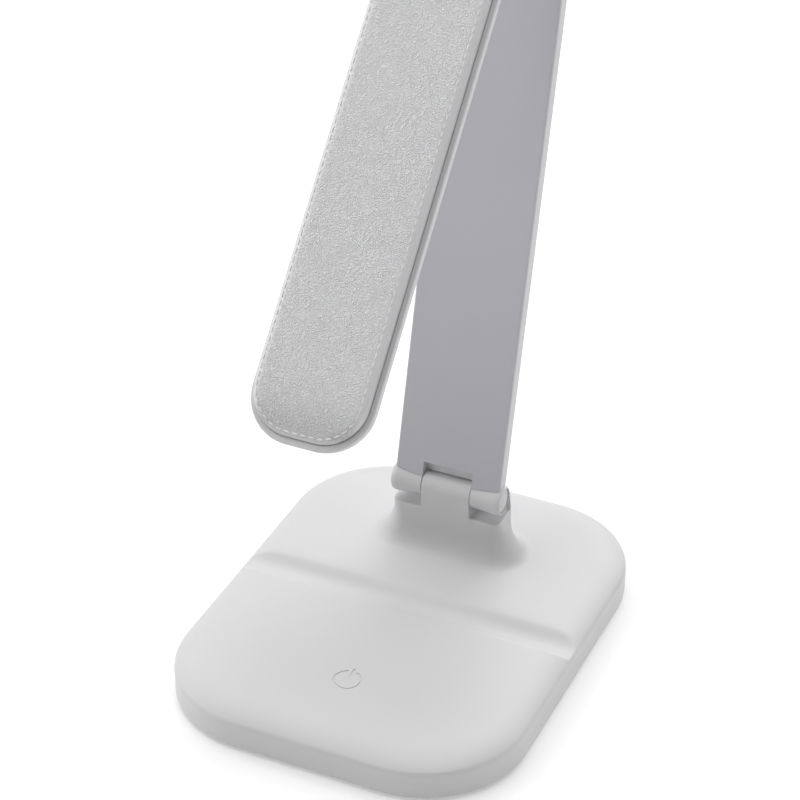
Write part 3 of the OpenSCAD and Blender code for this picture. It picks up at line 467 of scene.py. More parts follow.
def top_height(x, y, inset):
    t = np.clip((inset - ROLL_IN) / (ROLL - ROLL_IN), 0, 1)
    edge = WALL_TOP + np.sqrt(np.maximum(EDGE_R ** 2 - (EDGE_R - np.minimum(inset, ROLL_IN)) ** 2, 0))
    rolled = ROLL_TOP - RISE * (1 - t) ** POWER
    across = np.sqrt((x / (BASE_HALF - ROLL)) ** 4 + (y / (BASE_REAR - ROLL)) ** 4)
    crown = CROWN * (1 - np.minimum(across, 1)) * (t >= 1)
    surface = np.where(inset < ROLL_IN, edge, rolled) + crown
    return lower(surface, groove(y), np.where(y < LIP, LIP_R, SOFT_R))


print("groove floor at", round(float(groove(np.array(0.0))), 2), "mm")

# %% The base's skin
base_rows = np.r_[-41:-9:2, -8:12.6:0.4, 14:42:2].astype(float)
CEILING, SIDE_CEILING, LEDGE_IN, LEDGE_Z = 11.1, 10.5, 4, 8.0
FOOT_Z, FOOT_IN, FOOT_RISE = 0.8, 0.9, 1.2


def base_loop(inset, height):
    points = loop(*BASE_OUTLINE, inset, base_rows)
    return raised(points, height(points[:, 0], points[:, 1]) if callable(height) else height)


def ceiling(x, y, highest=CEILING):
    """The inside of the top, kept clear of the groove."""
    return np.minimum(highest, groove(y) - ROOF)


def side_ceiling(x, y):
    return ceiling(x, y, SIDE_CEILING)


inside = [base_loop(14, ceiling), base_loop(13.6, side_ceiling), base_loop(LEDGE_IN, side_ceiling),
          base_loop(LEDGE_IN, LEDGE_Z), base_loop(WALL, LEDGE_Z), base_loop(WALL, FOOT_Z)]
foot = [base_loop(FOOT_IN * (1 - sin(a)), FOOT_Z + FOOT_RISE * (1 - cos(a)))
        for a in np.linspace(0, pi / 2, 6)]
wall = [base_loop(0, z) for z in (4.5, 7.0, WALL_TOP)]
insets = [*(EDGE_R * (1 - np.cos(np.linspace(0, EDGE_TURN, 12)[1:]))),
          *(ROLL_IN + (ROLL - ROLL_IN) * np.linspace(0, 1, 22)[1:] ** 1.4)]
top = [base_loop(d, lambda x, y, d=d: top_height(x, y, np.full(len(x), d))) for d in insets]
base = skinned("base", inside + foot + wall + top, ceiling,
               lambda x, y: top_height(x, y, np.full(len(x), ROLL)))
print("base skin:", len(base.data.polygons), "faces")

# %% [markdown]
# ## The neck
# The neck is part of the same moulding. It flares out at its foot in a soft hollow, tall at the sides
# and shorter in front, and carries the hinge's centre knuckle, whose front runs flat into the neck.
# Two shelves leave room for the arm's barrels. The neck's upright corners are tight beside the
# shelves and widen towards the foot until the sides are almost half round. A mould has no knife
# edges, so the neck is remeshed on a fine even grid and relaxed a little, which rounds its edges by
# about half a millimetre; the knuckle is joined on afterwards and keeps its crisp ends.

# %% Neck and knuckle
SHELF, NECK_TOP, NECK_HALF, NECK_FRONT, NECK_STOP, NECK_BACK = 28.8, 34.1, 19.2, 31.1, 42.3, 44.9
NECK_CORNER, CORNER_GROWTH, GROWTH_RUN, NECK_ROOT = 2.8, 3.9, 7.5, 11.8
SIDE_FLARE, END_FLARE, END_FLARE_HIGH = 10, 6, 9
KNUCKLE_R, KNUCKLE_HALF, BUSH_BORE, WASHER_BORE, WASHER_DEEP = 4.5, 8.7, 2.97, 3.45, 0.85


def flare(z, reach, high):
    """A hollow quarter ellipse that spreads by `reach` over its height."""
    t = min(max((ROLL_TOP + high - z) / high, 0), 1)
    return reach * (1 - (1 - t * t) ** 0.5)


def neck_loop(z, side, end):
    """The neck's outline; its corners grow from 2.8 to 6.7 mm below the shelf."""
    r = NECK_CORNER + CORNER_GROWTH * min(max((SHELF - z) / GROWTH_RUN, 0), 1) + end
    front, rear = NECK_FRONT - end, NECK_BACK + end
    return raised(loop(NECK_HALF + side, front, rear, r, r, 0, np.linspace(front + r, rear - r, 7)), z)


NECK_RISE = NECK_TOP - ROLL_TOP
levels = [NECK_TOP - NECK_RISE * sin(a) for a in np.linspace(pi / 2, 0, 30)]
stack = [neck_loop(NECK_ROOT, SIDE_FLARE, END_FLARE)]
stack += [neck_loop(z, flare(z, SIDE_FLARE, NECK_RISE), flare(z, END_FLARE, END_FLARE_HIGH))
          for z in levels]
neck = skinned("neck", stack, level(NECK_ROOT), level(NECK_TOP))
cut(neck, *both_sides(lambda: block(KNUCKLE_HALF, 40, 20, NECK_STOP, SHELF, 50)),
    block(-KNUCKLE_HALF - 1, KNUCKLE_HALF + 1, LOWER_AXIS.y + 3, NECK_STOP, SHELF, 50))
print("neck before rounding:", len(neck.data.polygons), "faces")

# %% Rounding the neck, then its hollow and bores
grid = neck.modifiers.new("even grid", "REMESH")
grid.mode, grid.voxel_size = "VOXEL", 0.32
relax = neck.modifiers.new("relax", "SMOOTH")
relax.factor, relax.iterations = 0.5, 4
settled(neck)
KNUCKLE_FOOT = 26
BRACKET_POCKET = (-15.5, 15.5, 33.7, 41.3, 0.5, 27.6)
BRACKET_SLOT = (-5.65, 5.65, 33.95, 36.65, 26.6, 32.2)
bend = [(LOWER_AXIS.y - KNUCKLE_R * cos(a), LOWER_AXIS.z + KNUCKLE_R * sin(a))
        for a in np.linspace(0, pi, 48)]
bend += [(LOWER_AXIS.y + KNUCKLE_R, KNUCKLE_FOOT), (NECK_FRONT, KNUCKLE_FOOT)]
joined(neck, extruded("knuckle", bend, "X", -KNUCKLE_HALF, KNUCKLE_HALF))
joined(base, neck)


def bush_bores(y=0.0, z=0.0):
    """The bore of a knuckle's bush and the seats of its two washers."""
    return [rod(BUSH_BORE, -20, 20, y, z),
            *both_sides(lambda: rod(WASHER_BORE, KNUCKLE_HALF - WASHER_DEEP, 20, y, z))]


cut(base, block(*BRACKET_POCKET), block(*BRACKET_SLOT), *bush_bores(*LOWER_AXIS.yz))
print("base with neck:", len(base.data.polygons), "faces")

# %% [markdown]
# ## Openings in the base
# The inlet at the back is a slot with round ends. The touch key is a power symbol milled into the
# mould as a line 0.8 mm wide and 0.2 mm deep: a ring open at the rear with a short bar in the opening.

# %% Inlet, bosses and touch key
INLET_Z, INLET_HALF, INLET_R = 5.02, 4.82, 1.98
SCREW_X, SCREW_Y, BOSS_R, BORE_R = 39, 55, 3.2, 1.02
KEY_Y, KEY_R, KEY_LINE, KEY_DEEP = -45.0, 4.75, 0.8, 0.2
KEY_FLOOR = float(top_height(0, KEY_Y, BASE_REAR + KEY_Y)) - KEY_DEEP
inlet = extruded("inlet", [(x, INLET_Z + z) for x, z in slot_outline(INLET_HALF, INLET_R)], "Y", 72, 78)
gap = radians(18)
outer = [(KEY_R * sin(a), KEY_Y + KEY_R * cos(a)) for a in np.linspace(gap, 2 * pi - gap, 96)]
inner = [((KEY_R - KEY_LINE) * sin(a), KEY_Y + (KEY_R - KEY_LINE) * cos(a))
         for a in np.linspace(2 * pi - gap, gap, 96)]
ring = extruded("ring", outer + inner, "Z", KEY_FLOOR, 15)
bar = [(y, KEY_Y + 3.8 + x) for x, y in slot_outline(2.1, KEY_LINE / 2)]
cut(base, inlet, ring, extruded("bar", bar, "Z", KEY_FLOOR, 15))
for x in (-SCREW_X, SCREW_X):
    for y in (-SCREW_Y, SCREW_Y):
        joined(base, extruded("boss", circle(BOSS_R, x, y, 48), "Z", 3.15, 11.2))
        cut(base, extruded("bore", circle(BORE_R, x, y, 48), "Z", 2, 7.5))
finished(outward(base), "base_shell", BASE, "base", white_plastic, "white_plastic", "base_cover")

# %% [markdown]
# ## The arm's tray
# Behind, the arm is one moulding: a shallow tray with rounded back corners, and at each end two hinge
# barrels that swell towards their outer ends. The barrels are turned, the tray is extruded, and the
# notch for the centre knuckle is milled out of both.

# %% Shapes that the tray and its front panel share
ARM_HALF, ARM_FRONT, ARM_BACK, PANEL_BACK, TRAY_BACK = 18.8, -3.75, 3.75, -2.45, 2.15
BARREL_IN, BARREL_END, BARREL_R0, BARREL_R1, BARREL_EDGE = 8.95, 19.8, 4.6, 5.3, 2.0
END_ROUND, NOTCH_R, NOTCH_DEEP, HOLLOW_HALF, SOLID_END = 0.75, 4.8, 8.2, 17.2, 12
PIN_BORE, NUT_SEAT, CAP_SEAT = (2.02, 6, 17), (3.8, 15.5, 25), (4.4, 18.88, 25)


def section(half, front, rear, r_front, r_rear, n=10):
    """A flat piece's cross-section with its front and rear corners rounded."""
    bends = []
    for side, y, r, start in ((1, front, r_front, -90), (1, rear, r_rear, 0),
                              (-1, rear, r_rear, 90), (-1, front, r_front, 180)):
        cx, cy = side * (half - r), y + (r if y == front else -r)
        bends += [(cx + r * cos(a), cy + r * sin(a)) for a in radians(start) + np.linspace(0, pi / 2, n)]
    return bends


def barrel(grow=0.0):
    """A hinge barrel on the X axis, swelling towards its rounded outer end."""
    round_x = BARREL_END - BARREL_EDGE
    t = np.linspace(0, 1, 20)[:-1]
    swell = zip(BARREL_IN - grow * (1 - t) + (round_x - BARREL_IN) * t,
                BARREL_R0 + (BARREL_R1 - BARREL_R0) * t ** 1.6 + grow)
    end = BARREL_R1 - END_ROUND
    bend = [(round_x + (BARREL_EDGE + grow) * sin(a), end + END_ROUND * cos(a) + grow)
            for a in np.linspace(0, pi / 2, 12)]
    return turned("barrel", [(BARREL_IN - grow, 0), *swell, *bend, (BARREL_END + grow, 0)])


def at_both_ends(make):
    """A solid on both sides of both of the arm's hinges."""
    solids = []
    for z in (0, ARM_LENGTH):
        for solid in both_sides(make):
            solid.data.transform(Matrix.Translation((0, 0, z)))
            solids.append(solid)
    return solids


def notch_tools():
    """What both the tray and the panel leave free for the knuckles."""
    low = [rod(NOTCH_R, -BARREL_IN, BARREL_IN), block(-BARREL_IN, BARREL_IN, -9, TRAY_BACK, -6, NOTCH_R),
           block(-BARREL_IN, BARREL_IN, -9, -0.75, 0, NOTCH_DEEP)]
    high = [rod(NOTCH_R, -BARREL_IN, BARREL_IN, z=ARM_LENGTH),
            block(-BARREL_IN, BARREL_IN, -9, TRAY_BACK, ARM_LENGTH - NOTCH_DEEP, ARM_LENGTH + 6)]
    return low + high


# %% Tray and barrels
tray = extruded("tray", section(ARM_HALF, PANEL_BACK, ARM_BACK, 0.05, 2.2), "Z", 0, ARM_LENGTH)
cut(tray, block(-HOLLOW_HALF, HOLLOW_HALF, -6, TRAY_BACK, SOLID_END, ARM_LENGTH - SOLID_END))
joined(tray, *at_both_ends(barrel))
cut(tray, *notch_tools())
for bore in (PIN_BORE, NUT_SEAT, CAP_SEAT):
    cut(tray, *at_both_ends(lambda: rod(*bore)))
finished(tray, "arm_tray", ARM, "arm", white_plastic, "white_plastic", "arm_shell", sharp=35)

# %% [markdown]
# ## The arm's front panel
# The front is a separate flat cover, a shade cooler, with a small radius along its sides. It stops a
# hair short of the barrels, which leaves the fine dark line that shows above each of them.

# %% Front panel
PANEL_GAP, BARREL_GAP = 0.02, 0.15
panel_section = section(ARM_HALF, ARM_FRONT, PANEL_BACK - PANEL_GAP, 0.6, 0.05)
panel = extruded("panel", panel_section, "Z", 0, ARM_LENGTH)
cut(panel, *notch_tools(), *at_both_ends(lambda: barrel(BARREL_GAP)))
finished(panel, "arm_face", ARM, "arm", white_panel, "white_panel", "arm_front_panel", sharp=35)

# %% [markdown]
# ## The head's shell
# Seen from its edge the head is a shallow boat: a flat lit face, a belly that curves up to the rim,
# and a flat rim round the leather. That is one profile carried round a rounded outline, which is a
# rule, so Geometry Nodes make it: a rectangle with its corners filleted, large at the tip and small
# at the hinge, and the profile swept along it. The sizes are inputs of the tree.

# %% The sweep tree
def inputs_of(tree, **kinds):
    tree.interface.new_socket("Geometry", in_out="OUTPUT", socket_type="NodeSocketGeometry")
    for name, kind in kinds.items():
        tree.interface.new_socket(name.replace("_", " "), in_out="INPUT", socket_type="NodeSocket" + kind)
    source = tree.nodes.new("NodeGroupInput")
    nodes = Nodes(tree)
    return nodes, {name: Wire(nodes, source.outputs[name.replace("_", " ")]) for name in kinds}


def ended(nodes, shape, material):
    """Realises the shape, gives it its material and sends it out."""
    real = nodes.add("GeometryNodeRealizeInstances", {}, {0: shape})
    dressed = nodes.add("GeometryNodeSetMaterial", {}, {"Geometry": real, "Material": material})
    out = nodes.tree.nodes.new("NodeGroupOutput")
    nodes.tree.links.new(dressed.socket, out.inputs[0])


def grown(name, tree, **values):
    """The plain mesh that a tree makes from the given input values."""
    piece = linked(name, bpy.data.meshes.new(name))
    live = piece.modifiers.new("nodes", "NODES")
    live.node_group = tree
    for item in tree.interface.items_tree:
        if item.in_out == "INPUT":
            live[item.identifier] = values[item.name.replace(" ", "_")]
    return settled(piece)


sweep = bpy.data.node_groups.new("rounded_sweep", "GeometryNodeTree")
nodes, given = inputs_of(sweep, Width="Float", Length="Float", Start="Float", Near_radius="Float",
                         Tip_radius="Float", Steps="Int", Profile="Object", Finish="Material")
outline = nodes.add("GeometryNodeCurvePrimitiveQuadrilateral", {"mode": "RECTANGLE"},
                    {"Width": given["Width"], "Height": given["Length"]})
place = nodes.add("GeometryNodeInputPosition")
along = nodes.add("ShaderNodeSeparateXYZ", {}, {0: place}, out=1)
near = nodes.add("ShaderNodeMath", {"operation": "GREATER_THAN"}, {0: along, 1: 0.0})
radius = given["Tip_radius"] + near * (given["Near_radius"] - given["Tip_radius"])
rounded = nodes.add("GeometryNodeFilletCurve", {"mode": "POLY"},
                    {"Curve": outline, "Count": given["Steps"], "Radius": radius})
shift = nodes.add("ShaderNodeCombineXYZ", {}, {"Y": 0.0 - given["Length"] / 2 - given["Start"]})
moved = nodes.add("GeometryNodeTransform", {}, {"Geometry": rounded, "Translation": shift})
profile = nodes.add("GeometryNodeObjectInfo", {}, {"Object": given["Profile"]}, out=4)
swept = nodes.add("GeometryNodeCurveToMesh", {}, {"Curve": moved, "Profile Curve": profile})
ended(nodes, swept, given["Finish"])
print("sweep tree:", len(sweep.nodes), "nodes")

# %% The head's profile, swept
HEAD_HALF, HEAD_NEAR, HEAD_TIP, NEAR_R, TIP_R, BELLY = 19.5, 8.0, 245.0, 7.5, 15.0, 4.5
LIT, RIM, RIM_EDGE, FLAT_IN = 4.8, 12.2, 0.5, 7


def drawn_curve(name, points):
    """A closed curve object through the points, for a tree to sweep or follow."""
    curve = bpy.data.curves.new(name, "CURVE")
    curve.dimensions = "3D"
    line = curve.splines.new("POLY")
    line.points.add(len(points) - 1)
    for spot, place in zip(line.points, points):
        spot.co = (*place, 1)
    line.use_cyclic_u = True
    return linked(name, curve)


curve_points = [(FLAT_IN, LIT)] + [(BELLY * (1 - sin(a)), LIT + (RIM - RIM_EDGE - LIT) * (1 - cos(a)))
                                   for a in np.linspace(0, pi / 2, 20)]
curve_points += [(RIM_EDGE * (1 - cos(a)), RIM - RIM_EDGE * (1 - sin(a)))
                 for a in np.linspace(0, pi / 2, 8)[1:]]
curve_points += [(FLAT_IN, RIM)]
profile_curve = drawn_curve("profile", [(-inset, -height, 0) for inset, height in curve_points])
head = grown("head", sweep, Width=2 * HEAD_HALF, Length=HEAD_TIP - HEAD_NEAR, Start=HEAD_NEAR,
             Near_radius=NEAR_R, Tip_radius=TIP_R, Steps=24, Profile=profile_curve, Finish=white_plastic)
bpy.data.objects.remove(profile_curve)
outward(head)
reach = np.array([v.co for v in head.data.vertices])
print("head sweep from", reach.min(0).round(2), "to", reach.max(0).round(2))

# %% Filling the head and cutting its seats
def head_slab(half, near, far, r_near, r_tip, low, high):
    """A flat slab of the head between two heights."""
    return extruded("slab", section(half, -far, -near, r_tip, r_near, 20), "Z", low, high)


core = (13.2, HEAD_NEAR + 6.3, HEAD_TIP - 6.3, 1.2, 8.7, LIT, RIM)
glass_seat = (14.05, 15.85, 239.55, 3, 10.5, 2, LIT + 1.5)
led_hollow = (12.7, 17.2, 238.2, 3, 9.15, LIT, 10.1)
pad_seat = (18.0, HEAD_NEAR + 1.5, HEAD_TIP - 2, 3, 13.5, 11.3, 14)
joined(head, head_slab(*core))
cut(head, *(head_slab(*seat) for seat in (glass_seat, led_hollow, pad_seat)))
tongue = [(KNUCKLE_R * cos(radians(a)), KNUCKLE_R * sin(radians(a))) for a in (155, -35)]
tongue += [(-4.85, -8), (-4.85, -16), (-11.45, -16), (-11.45, -9)]
knuckle = extruded("tongue", tongue, "X", -KNUCKLE_HALF, KNUCKLE_HALF)
joined(knuckle, rod(KNUCKLE_R, -KNUCKLE_HALF, KNUCKLE_HALF))
knuckle.data.transform(Matrix.Rotation(radians(-90), 4, "X"))
joined(head, knuckle)
cut(head, *bush_bores())
POST_R, POST_BORE, POSTS = 2.4, 0.82, (-38.6, -206.6)
for y in POSTS:
    joined(head, extruded("post", circle(POST_R, 0, y, 48), "Z", 9.5, 10.6))
    cut(head, extruded("bore", circle(POST_BORE, 0, y, 32), "Z", 8, 10.5))
finished(head, "head_shell", HEAD, "head", white_plastic, "white_plastic", "head_frame", sharp=35)

# %% [markdown]
# ## The leather pad
# The top of the head is a padded cover: leather wrapped over a tray with a little foam and let into
# the rim. It stands almost straight out of the rim, rolls over in a round shoulder, and a line of
# stitches a good millimetre in from its foot pulls a shallow channel. Over the last 30 mm before the
# tip the whole section flattens until the face nearly meets the rim. Between two stitches the thread
# goes down through the leather, so the channel dips at every needle hole.

# %% The leather's heights
FOOT = (17.65, -242.65, -9.85, 13.15, 3.0)
SEAT, WIDE, TOP_FACE, BULGE, SHOULDER = 11.9, 14.65, 16.87, 0.19, 2.25
TIP_DROP, SLOPE_LENGTH = 4.6, 30.0
SEAM, PITCH, CHANNEL_HALF, CHANNEL_DEEP, HOLE_DEEP = 1.15, 2.65, 0.4, 0.08, 0.14
# The last two numbers size the painted shade towards the tip: its run in mm and its darkest share.
LEATHER_BOTTOM, TIP_SHADE_RUN, TIP_SHADE_MOST = 11.34, 14, 0.8
face_sides = np.linspace(FOOT[1] + 13.6, FOOT[2] - 5.4, 322)
seam_path = loop(*FOOT, SEAM, face_sides)
steps = np.linalg.norm(np.roll(seam_path, -1, axis=0) - seam_path, axis=1)
stitch_count = round(steps.sum() / PITCH)
phase = np.r_[0, steps.cumsum()[:-1]] / steps.sum() * stitch_count
print("seam:", round(float(steps.sum()), 1), "mm,", stitch_count, "stitches")


def eased(t):
    t = np.clip(t, 0, 1)
    return t * t * (3 - 2 * t)


def flattening(y):
    """How much of the pad's height is left: all of it, down to about a third at the tip."""
    nearness = 1 - np.clip((y + HEAD_TIP) / SLOPE_LENGTH, 0, 1)
    return 1 - (TIP_DROP * nearness ** 3) / (TOP_FACE - SEAT)


def face_height(x, y, inset, holes=0.0):
    """The height of the leather above its widest line, at an inset from its foot."""
    over_edge = np.clip((inset + BULGE) / SHOULDER, 0, 1)
    roll = WIDE + (TOP_FACE - WIDE) * np.sqrt(1 - (1 - over_edge) ** 2)
    channel = np.exp(-((inset - SEAM) / CHANNEL_HALF) ** 2)
    return SEAT + (roll - SEAT) * flattening(y) - channel * (CHANNEL_DEEP + HOLE_DEEP * holes)


# %% The leather's skin
holes = 0.5 - 0.5 * np.cos(2 * pi * phase)
points = loop(*FOOT, -BULGE, face_sides)
side = [raised(points, LEATHER_BOTTOM)]
side += [raised(points, SEAT + (WIDE - SEAT) * share * flattening(points[:, 1]))
         for share in (0, 0.25, 0.5, 0.75)]
over_top = []
round_shoulder = SHOULDER * (1 - np.cos(np.linspace(0, pi / 2, 14))) - BULGE
for inset in [*round_shoulder, *np.arange(1.4, 2.6, 0.15)]:
    points = loop(*FOOT, inset, face_sides)
    over_top.append(raised(points, face_height(*points.T, inset, holes)))
leather = skinned("leather", side + over_top, level(LEATHER_BOTTOM),
                  lambda x, y: face_height(x, y, 3.0), sharp=60)
flat = np.array([v.co for v in leather.data.vertices])
from_edge = np.minimum(FOOT[0] - np.abs(flat[:, 0]), np.minimum(flat[:, 1] - FOOT[1], FOOT[2] - flat[:, 1]))
# Painted shade: the leather's colour is darkened near its foot and over the last stretch to the tip, where
# the rolled shoulder and the slope fall into shade.
tip_shade = TIP_SHADE_MOST * eased((16 - HEAD_TIP - flat[:, 1]) / TIP_SHADE_RUN)
stretched = np.maximum(eased((1.1 - from_edge) / 1.6), tip_shade)
for name, share in (("grained", eased((from_edge - 1.0) / 2.0)), ("stretched", stretched)):
    leather.data.attributes.new(name, "FLOAT", "POINT").data.foreach_set("value", share.astype(np.float32))
print("leather:", len(leather.data.polygons), "faces, rising", round(TOP_FACE - RIM, 2), "mm over the rim")

# %% [markdown]
# ## Leather finish
# Corrected leather has a printed grain of small wavy creases about half a millimetre apart, softer on
# the margin. Round its edge and down the slope to the tip the white coat is painted greyer: painted
# shade, where the rolled shoulder and the sloping tip turn from the light. A Voronoi pattern bent by
# noise gives the creases, a finer noise the pores. Two attributes on the mesh, `grained` and one for
# the painted shade, say how much of each every point carries.

# %% White leather
def leather_finish():
    """A white coat over fine creases, with painted shade greying it round the edge and at the tip."""
    skin = Finish("white_leather", Specular_IOR_Level=0.4, Sheen_Weight=0.1, Sheen_Roughness=0.45)
    amount = skin.add("ShaderNodeAttribute", {"attribute_name": "grained"}, out=2)
    bent = skin.add("ShaderNodeTexNoise", {}, {"Vector": skin.place, "Scale": 1100, "Detail": 1.0}, out=1)
    warp = skin.add("ShaderNodeVectorMath", {"operation": "MULTIPLY_ADD"},
                    {0: bent, 1: (0.0007, 0.0007, 0.0007), 2: skin.place})
    crease = skin.eased(skin.cells(warp, 1500), 0.02, 0.34)
    wave = skin.noise(0.0009, 2.0)
    pores = skin.noise(0.0003, 2.0)
    height = (crease * 0.5 + wave * 0.6 + pores * 0.2) * (amount * 0.85 + 0.15)
    coat = skin.mix(crease * amount, (0.775, 0.773, 0.785, 1), (0.85, 0.848, 0.86, 1))
    # Painted shade: the coat turns to a flat grey round the edge and at the tip, by the share stored on the
    # mesh.
    shade_share = skin.add("ShaderNodeAttribute", {"attribute_name": "stretched"}, out=2)
    skin.feed("Base Color", skin.mix(shade_share, coat, (0.62, 0.619, 0.63, 1)))
    skin.feed("Roughness", skin.noise(0.01, 2.0) * 0.1 + 0.5 - crease * amount * 0.05)
    return skin.bump(height, 0.00045, 1.0).material


white_leather = leather_finish()
finished(leather, "leather_face", HEAD, "head", white_leather, "white_leather", "leather_cover",
                   sharp=60)

# %% [markdown]
# ## Stitches
# The thread shows as short dashes on top of the leather, one every 2.65 mm, all the way round. That
# is a thing that repeats along a path, so Geometry Nodes set it: the seam is resampled to as many
# points as there are stitches, and a small spindle is laid on each along the seam, with a seeded
# turn of a few degrees because a needle never lands quite true.

# %% Seam path and stitch tree
THREAD_OVER = 0.06
seam_curve = drawn_curve("seam", raised(seam_path, face_height(*seam_path.T, SEAM) + THREAD_OVER))

sewn = bpy.data.node_groups.new("stitches_on_a_seam", "GeometryNodeTree")
nodes, given = inputs_of(sewn, Seam="Object", Count="Int", Length="Float", Thread="Float", Wander="Float",
                         Finish="Material")
path = nodes.add("GeometryNodeObjectInfo", {}, {"Object": given["Seam"]}, out=4)
spaced = nodes.add("GeometryNodeResampleCurve", {"mode": "COUNT"}, {"Curve": path, "Count": given["Count"]})
tangent = nodes.add("GeometryNodeInputTangent")
along = nodes.add("FunctionNodeAlignRotationToVector", {"axis": "X"}, {"Vector": tangent})
wander = nodes.add("FunctionNodeRandomValue", {"data_type": "FLOAT"},
                   {2: 0.0 - given["Wander"], 3: given["Wander"], "Seed": 7}, out=1)
twist = nodes.add("ShaderNodeCombineXYZ", {}, {"Z": wander})
turned_by = nodes.add("FunctionNodeRotateRotation", {"rotation_space": "LOCAL"}, {0: along, 1: twist})
spindle = nodes.add("GeometryNodeMeshUVSphere", {}, {"Segments": 10, "Rings": 8, "Radius": 0.5})
shape = nodes.add("ShaderNodeCombineXYZ", {},
                  {"X": given["Length"], "Y": given["Thread"], "Z": given["Thread"]})
laid = nodes.add("GeometryNodeInstanceOnPoints", {},
                 {"Points": spaced, "Instance": spindle, "Rotation": turned_by, "Scale": shape})
smooth = nodes.add("GeometryNodeSetShadeSmooth", {}, {0: laid})
ended(nodes, smooth, given["Finish"])


# %% Thread
def thread_finish():
    thread = Finish("thread", Specular_IOR_Level=0.3)
    strands = thread.noise(0.0003, 1.0, stretch=(1, 0.35, 1))
    thread.feed("Base Color", thread.mix(strands, (0.70, 0.70, 0.70, 1), (0.86, 0.86, 0.86, 1)))
    return thread.gloss(0.7, 0.05, 0.002).bump(strands, 0.00005).material


stitches = grown("stitches", sewn, Seam=seam_curve, Count=stitch_count, Length=2.0, Thread=0.55,
                 Wander=0.07, Finish=thread_finish())
bpy.data.objects.remove(seam_curve)
finished(stitches, "face_stitches", HEAD, "head", stitches.data.materials[0], "white_leather")

# %% [markdown]
# ## Caps on the hinges
# A thin cap closes each barrel. It is turned with a full dome that carries on the barrel's rounding,
# so the end of the hinge reads as one soft button with a fine ring round it.

# %% End caps
white_cap = moulded("white_cap", WHITE, 0.4)


CAP_R, CAP_BACK, CAP_EDGE, CAP_DOME = 4.34, 18.9, 18.95, 0.84


def cap():
    """A flat-backed button on the X axis with a domed face."""
    dome = [(CAP_EDGE + CAP_DOME * cos(a), CAP_R * sin(a)) for a in np.linspace(0, pi / 2, 20)]
    return turned("cap", [(CAP_BACK, 0), (CAP_BACK, CAP_R), *dome[:0:-1], (CAP_EDGE + CAP_DOME, 0)])


ARM_END = ARM @ Matrix.Translation((0, 0, ARM_LENGTH))
for name, where in (("lower_end_caps", ARM), ("upper_end_caps", ARM_END)):
    right, left = both_sides(cap)
    finished(joined(right, left), name.replace("end", "round"), where, "arm", white_cap, "white_plastic",
             name)

# %% [markdown]
# ## The lit face
# Under the head a sheet of opal plastic spreads the light of two rows of LEDs. Its edge is eased, and
# its surface has the faint matt grain that hides the chips behind it. Switched off, it reads as a
# milky white a little warmer than the shell.

# %% Diffuser
opal = moulded("opal_diffuser", (0.80, 0.80, 0.785), 0.35, 0.0002, 0.000008, 0.006)
GLASS = (13.9, -239.4, -16.0, 10.35, 3.0)
glass_sides = np.linspace(-228.9, -19.2, 24)
GLASS_BACK, GLASS_FACE = LIT + 1.48, LIT + 0.02
layers = [(0.0, GLASS_BACK), (0.0, LIT + 0.5), (0.03, LIT + 0.3), (0.12, LIT + 0.14), (0.3, LIT + 0.04),
          (0.6, GLASS_FACE)]
glass = skinned("glass", [raised(loop(*GLASS, d, glass_sides), z) for d, z in layers],
                level(GLASS_BACK), level(GLASS_FACE))
glass.data.flip_normals()
finished(glass, "diffuser_sheet", HEAD, "head", opal, "opal_diffuser", "diffuser")

# %% [markdown]
# ## What repeats inside
# The LEDs stand in two rows and the base is held by four screws. Both are patterns on a grid, so one
# small tree serves them: a grid of points, a shape on each.

# %% The grid tree
rows = bpy.data.node_groups.new("shapes_on_a_grid", "GeometryNodeTree")
nodes, given = inputs_of(rows, Shape="Object", Across="Int", Along="Int", Pitch_across="Float",
                         Pitch_along="Float", Middle="Vector", Finish="Material")
size_x = given["Pitch_across"] * (given["Across"] - 1)
size_y = given["Pitch_along"] * (given["Along"] - 1)
grid = nodes.add("GeometryNodeMeshGrid", {}, {"Size X": size_x, "Size Y": size_y,
                                              "Vertices X": given["Across"], "Vertices Y": given["Along"]})
spread = nodes.add("GeometryNodeTransform", {}, {"Geometry": grid, "Translation": given["Middle"]})
shape = nodes.add("GeometryNodeObjectInfo", {}, {"Object": given["Shape"]}, out=4)
filled = nodes.add("GeometryNodeInstanceOnPoints", {}, {"Points": spread, "Instance": shape})
ended(nodes, filled, given["Finish"])


def patterned(name, shape, across, along, pitch_across, pitch_along, middle, finish):
    """The shape on every point of a grid, as one mesh."""
    made_rows = grown(name, rows, Shape=shape, Across=across, Along=along, Pitch_across=pitch_across,
                      Pitch_along=pitch_along, Middle=middle, Finish=finish)
    bpy.data.objects.remove(shape)
    return made_rows


# %% LEDs and the base's screws
led_body = moulded("led_body", (0.86, 0.86, 0.84), 0.4)
phosphor = moulded("led_phosphor", (0.90, 0.72, 0.16), 0.5, 0.0003, 0.00001, 0.05)
LED_GRID, LED_HALF, LED_HIGH = (2, 23, 5, 8, (0, -122.6, 8.5)), 1.5, 0.8
chip = extruded("chip", section(LED_HALF, -LED_HALF, LED_HALF, 0.25, 0.25, 4), "Z", -LED_HIGH, -0.02)
chips = patterned("chips", chip, *LED_GRID, led_body)
finished(chips, "led_packages", HEAD, "head", led_body, "led_phosphor", "led_chips")
window = turned("window", [(0, 0), (0.0, 1.15), (-0.06, 1.1), (-0.08, 0)], 24)
window.data.transform(Matrix.Translation((0, 0, -LED_HIGH)) @ Matrix.Rotation(radians(-90), 4, "Y"))
windows = patterned("windows", window, *LED_GRID, phosphor)
finished(windows, "led_windows", HEAD, "head", phosphor, "led_phosphor")

# %% [markdown]
# ## Steel, bronze and copper inside
# Inside are stamped and turned metal parts whose solids already have the right shape. Each takes the
# skin of its stuff: zinc-plated steel has a cloudy spangle and fine rolling lines, spring steel is
# darker and smoother, sintered bronze is dull and full of pores, and copper foil is bright.

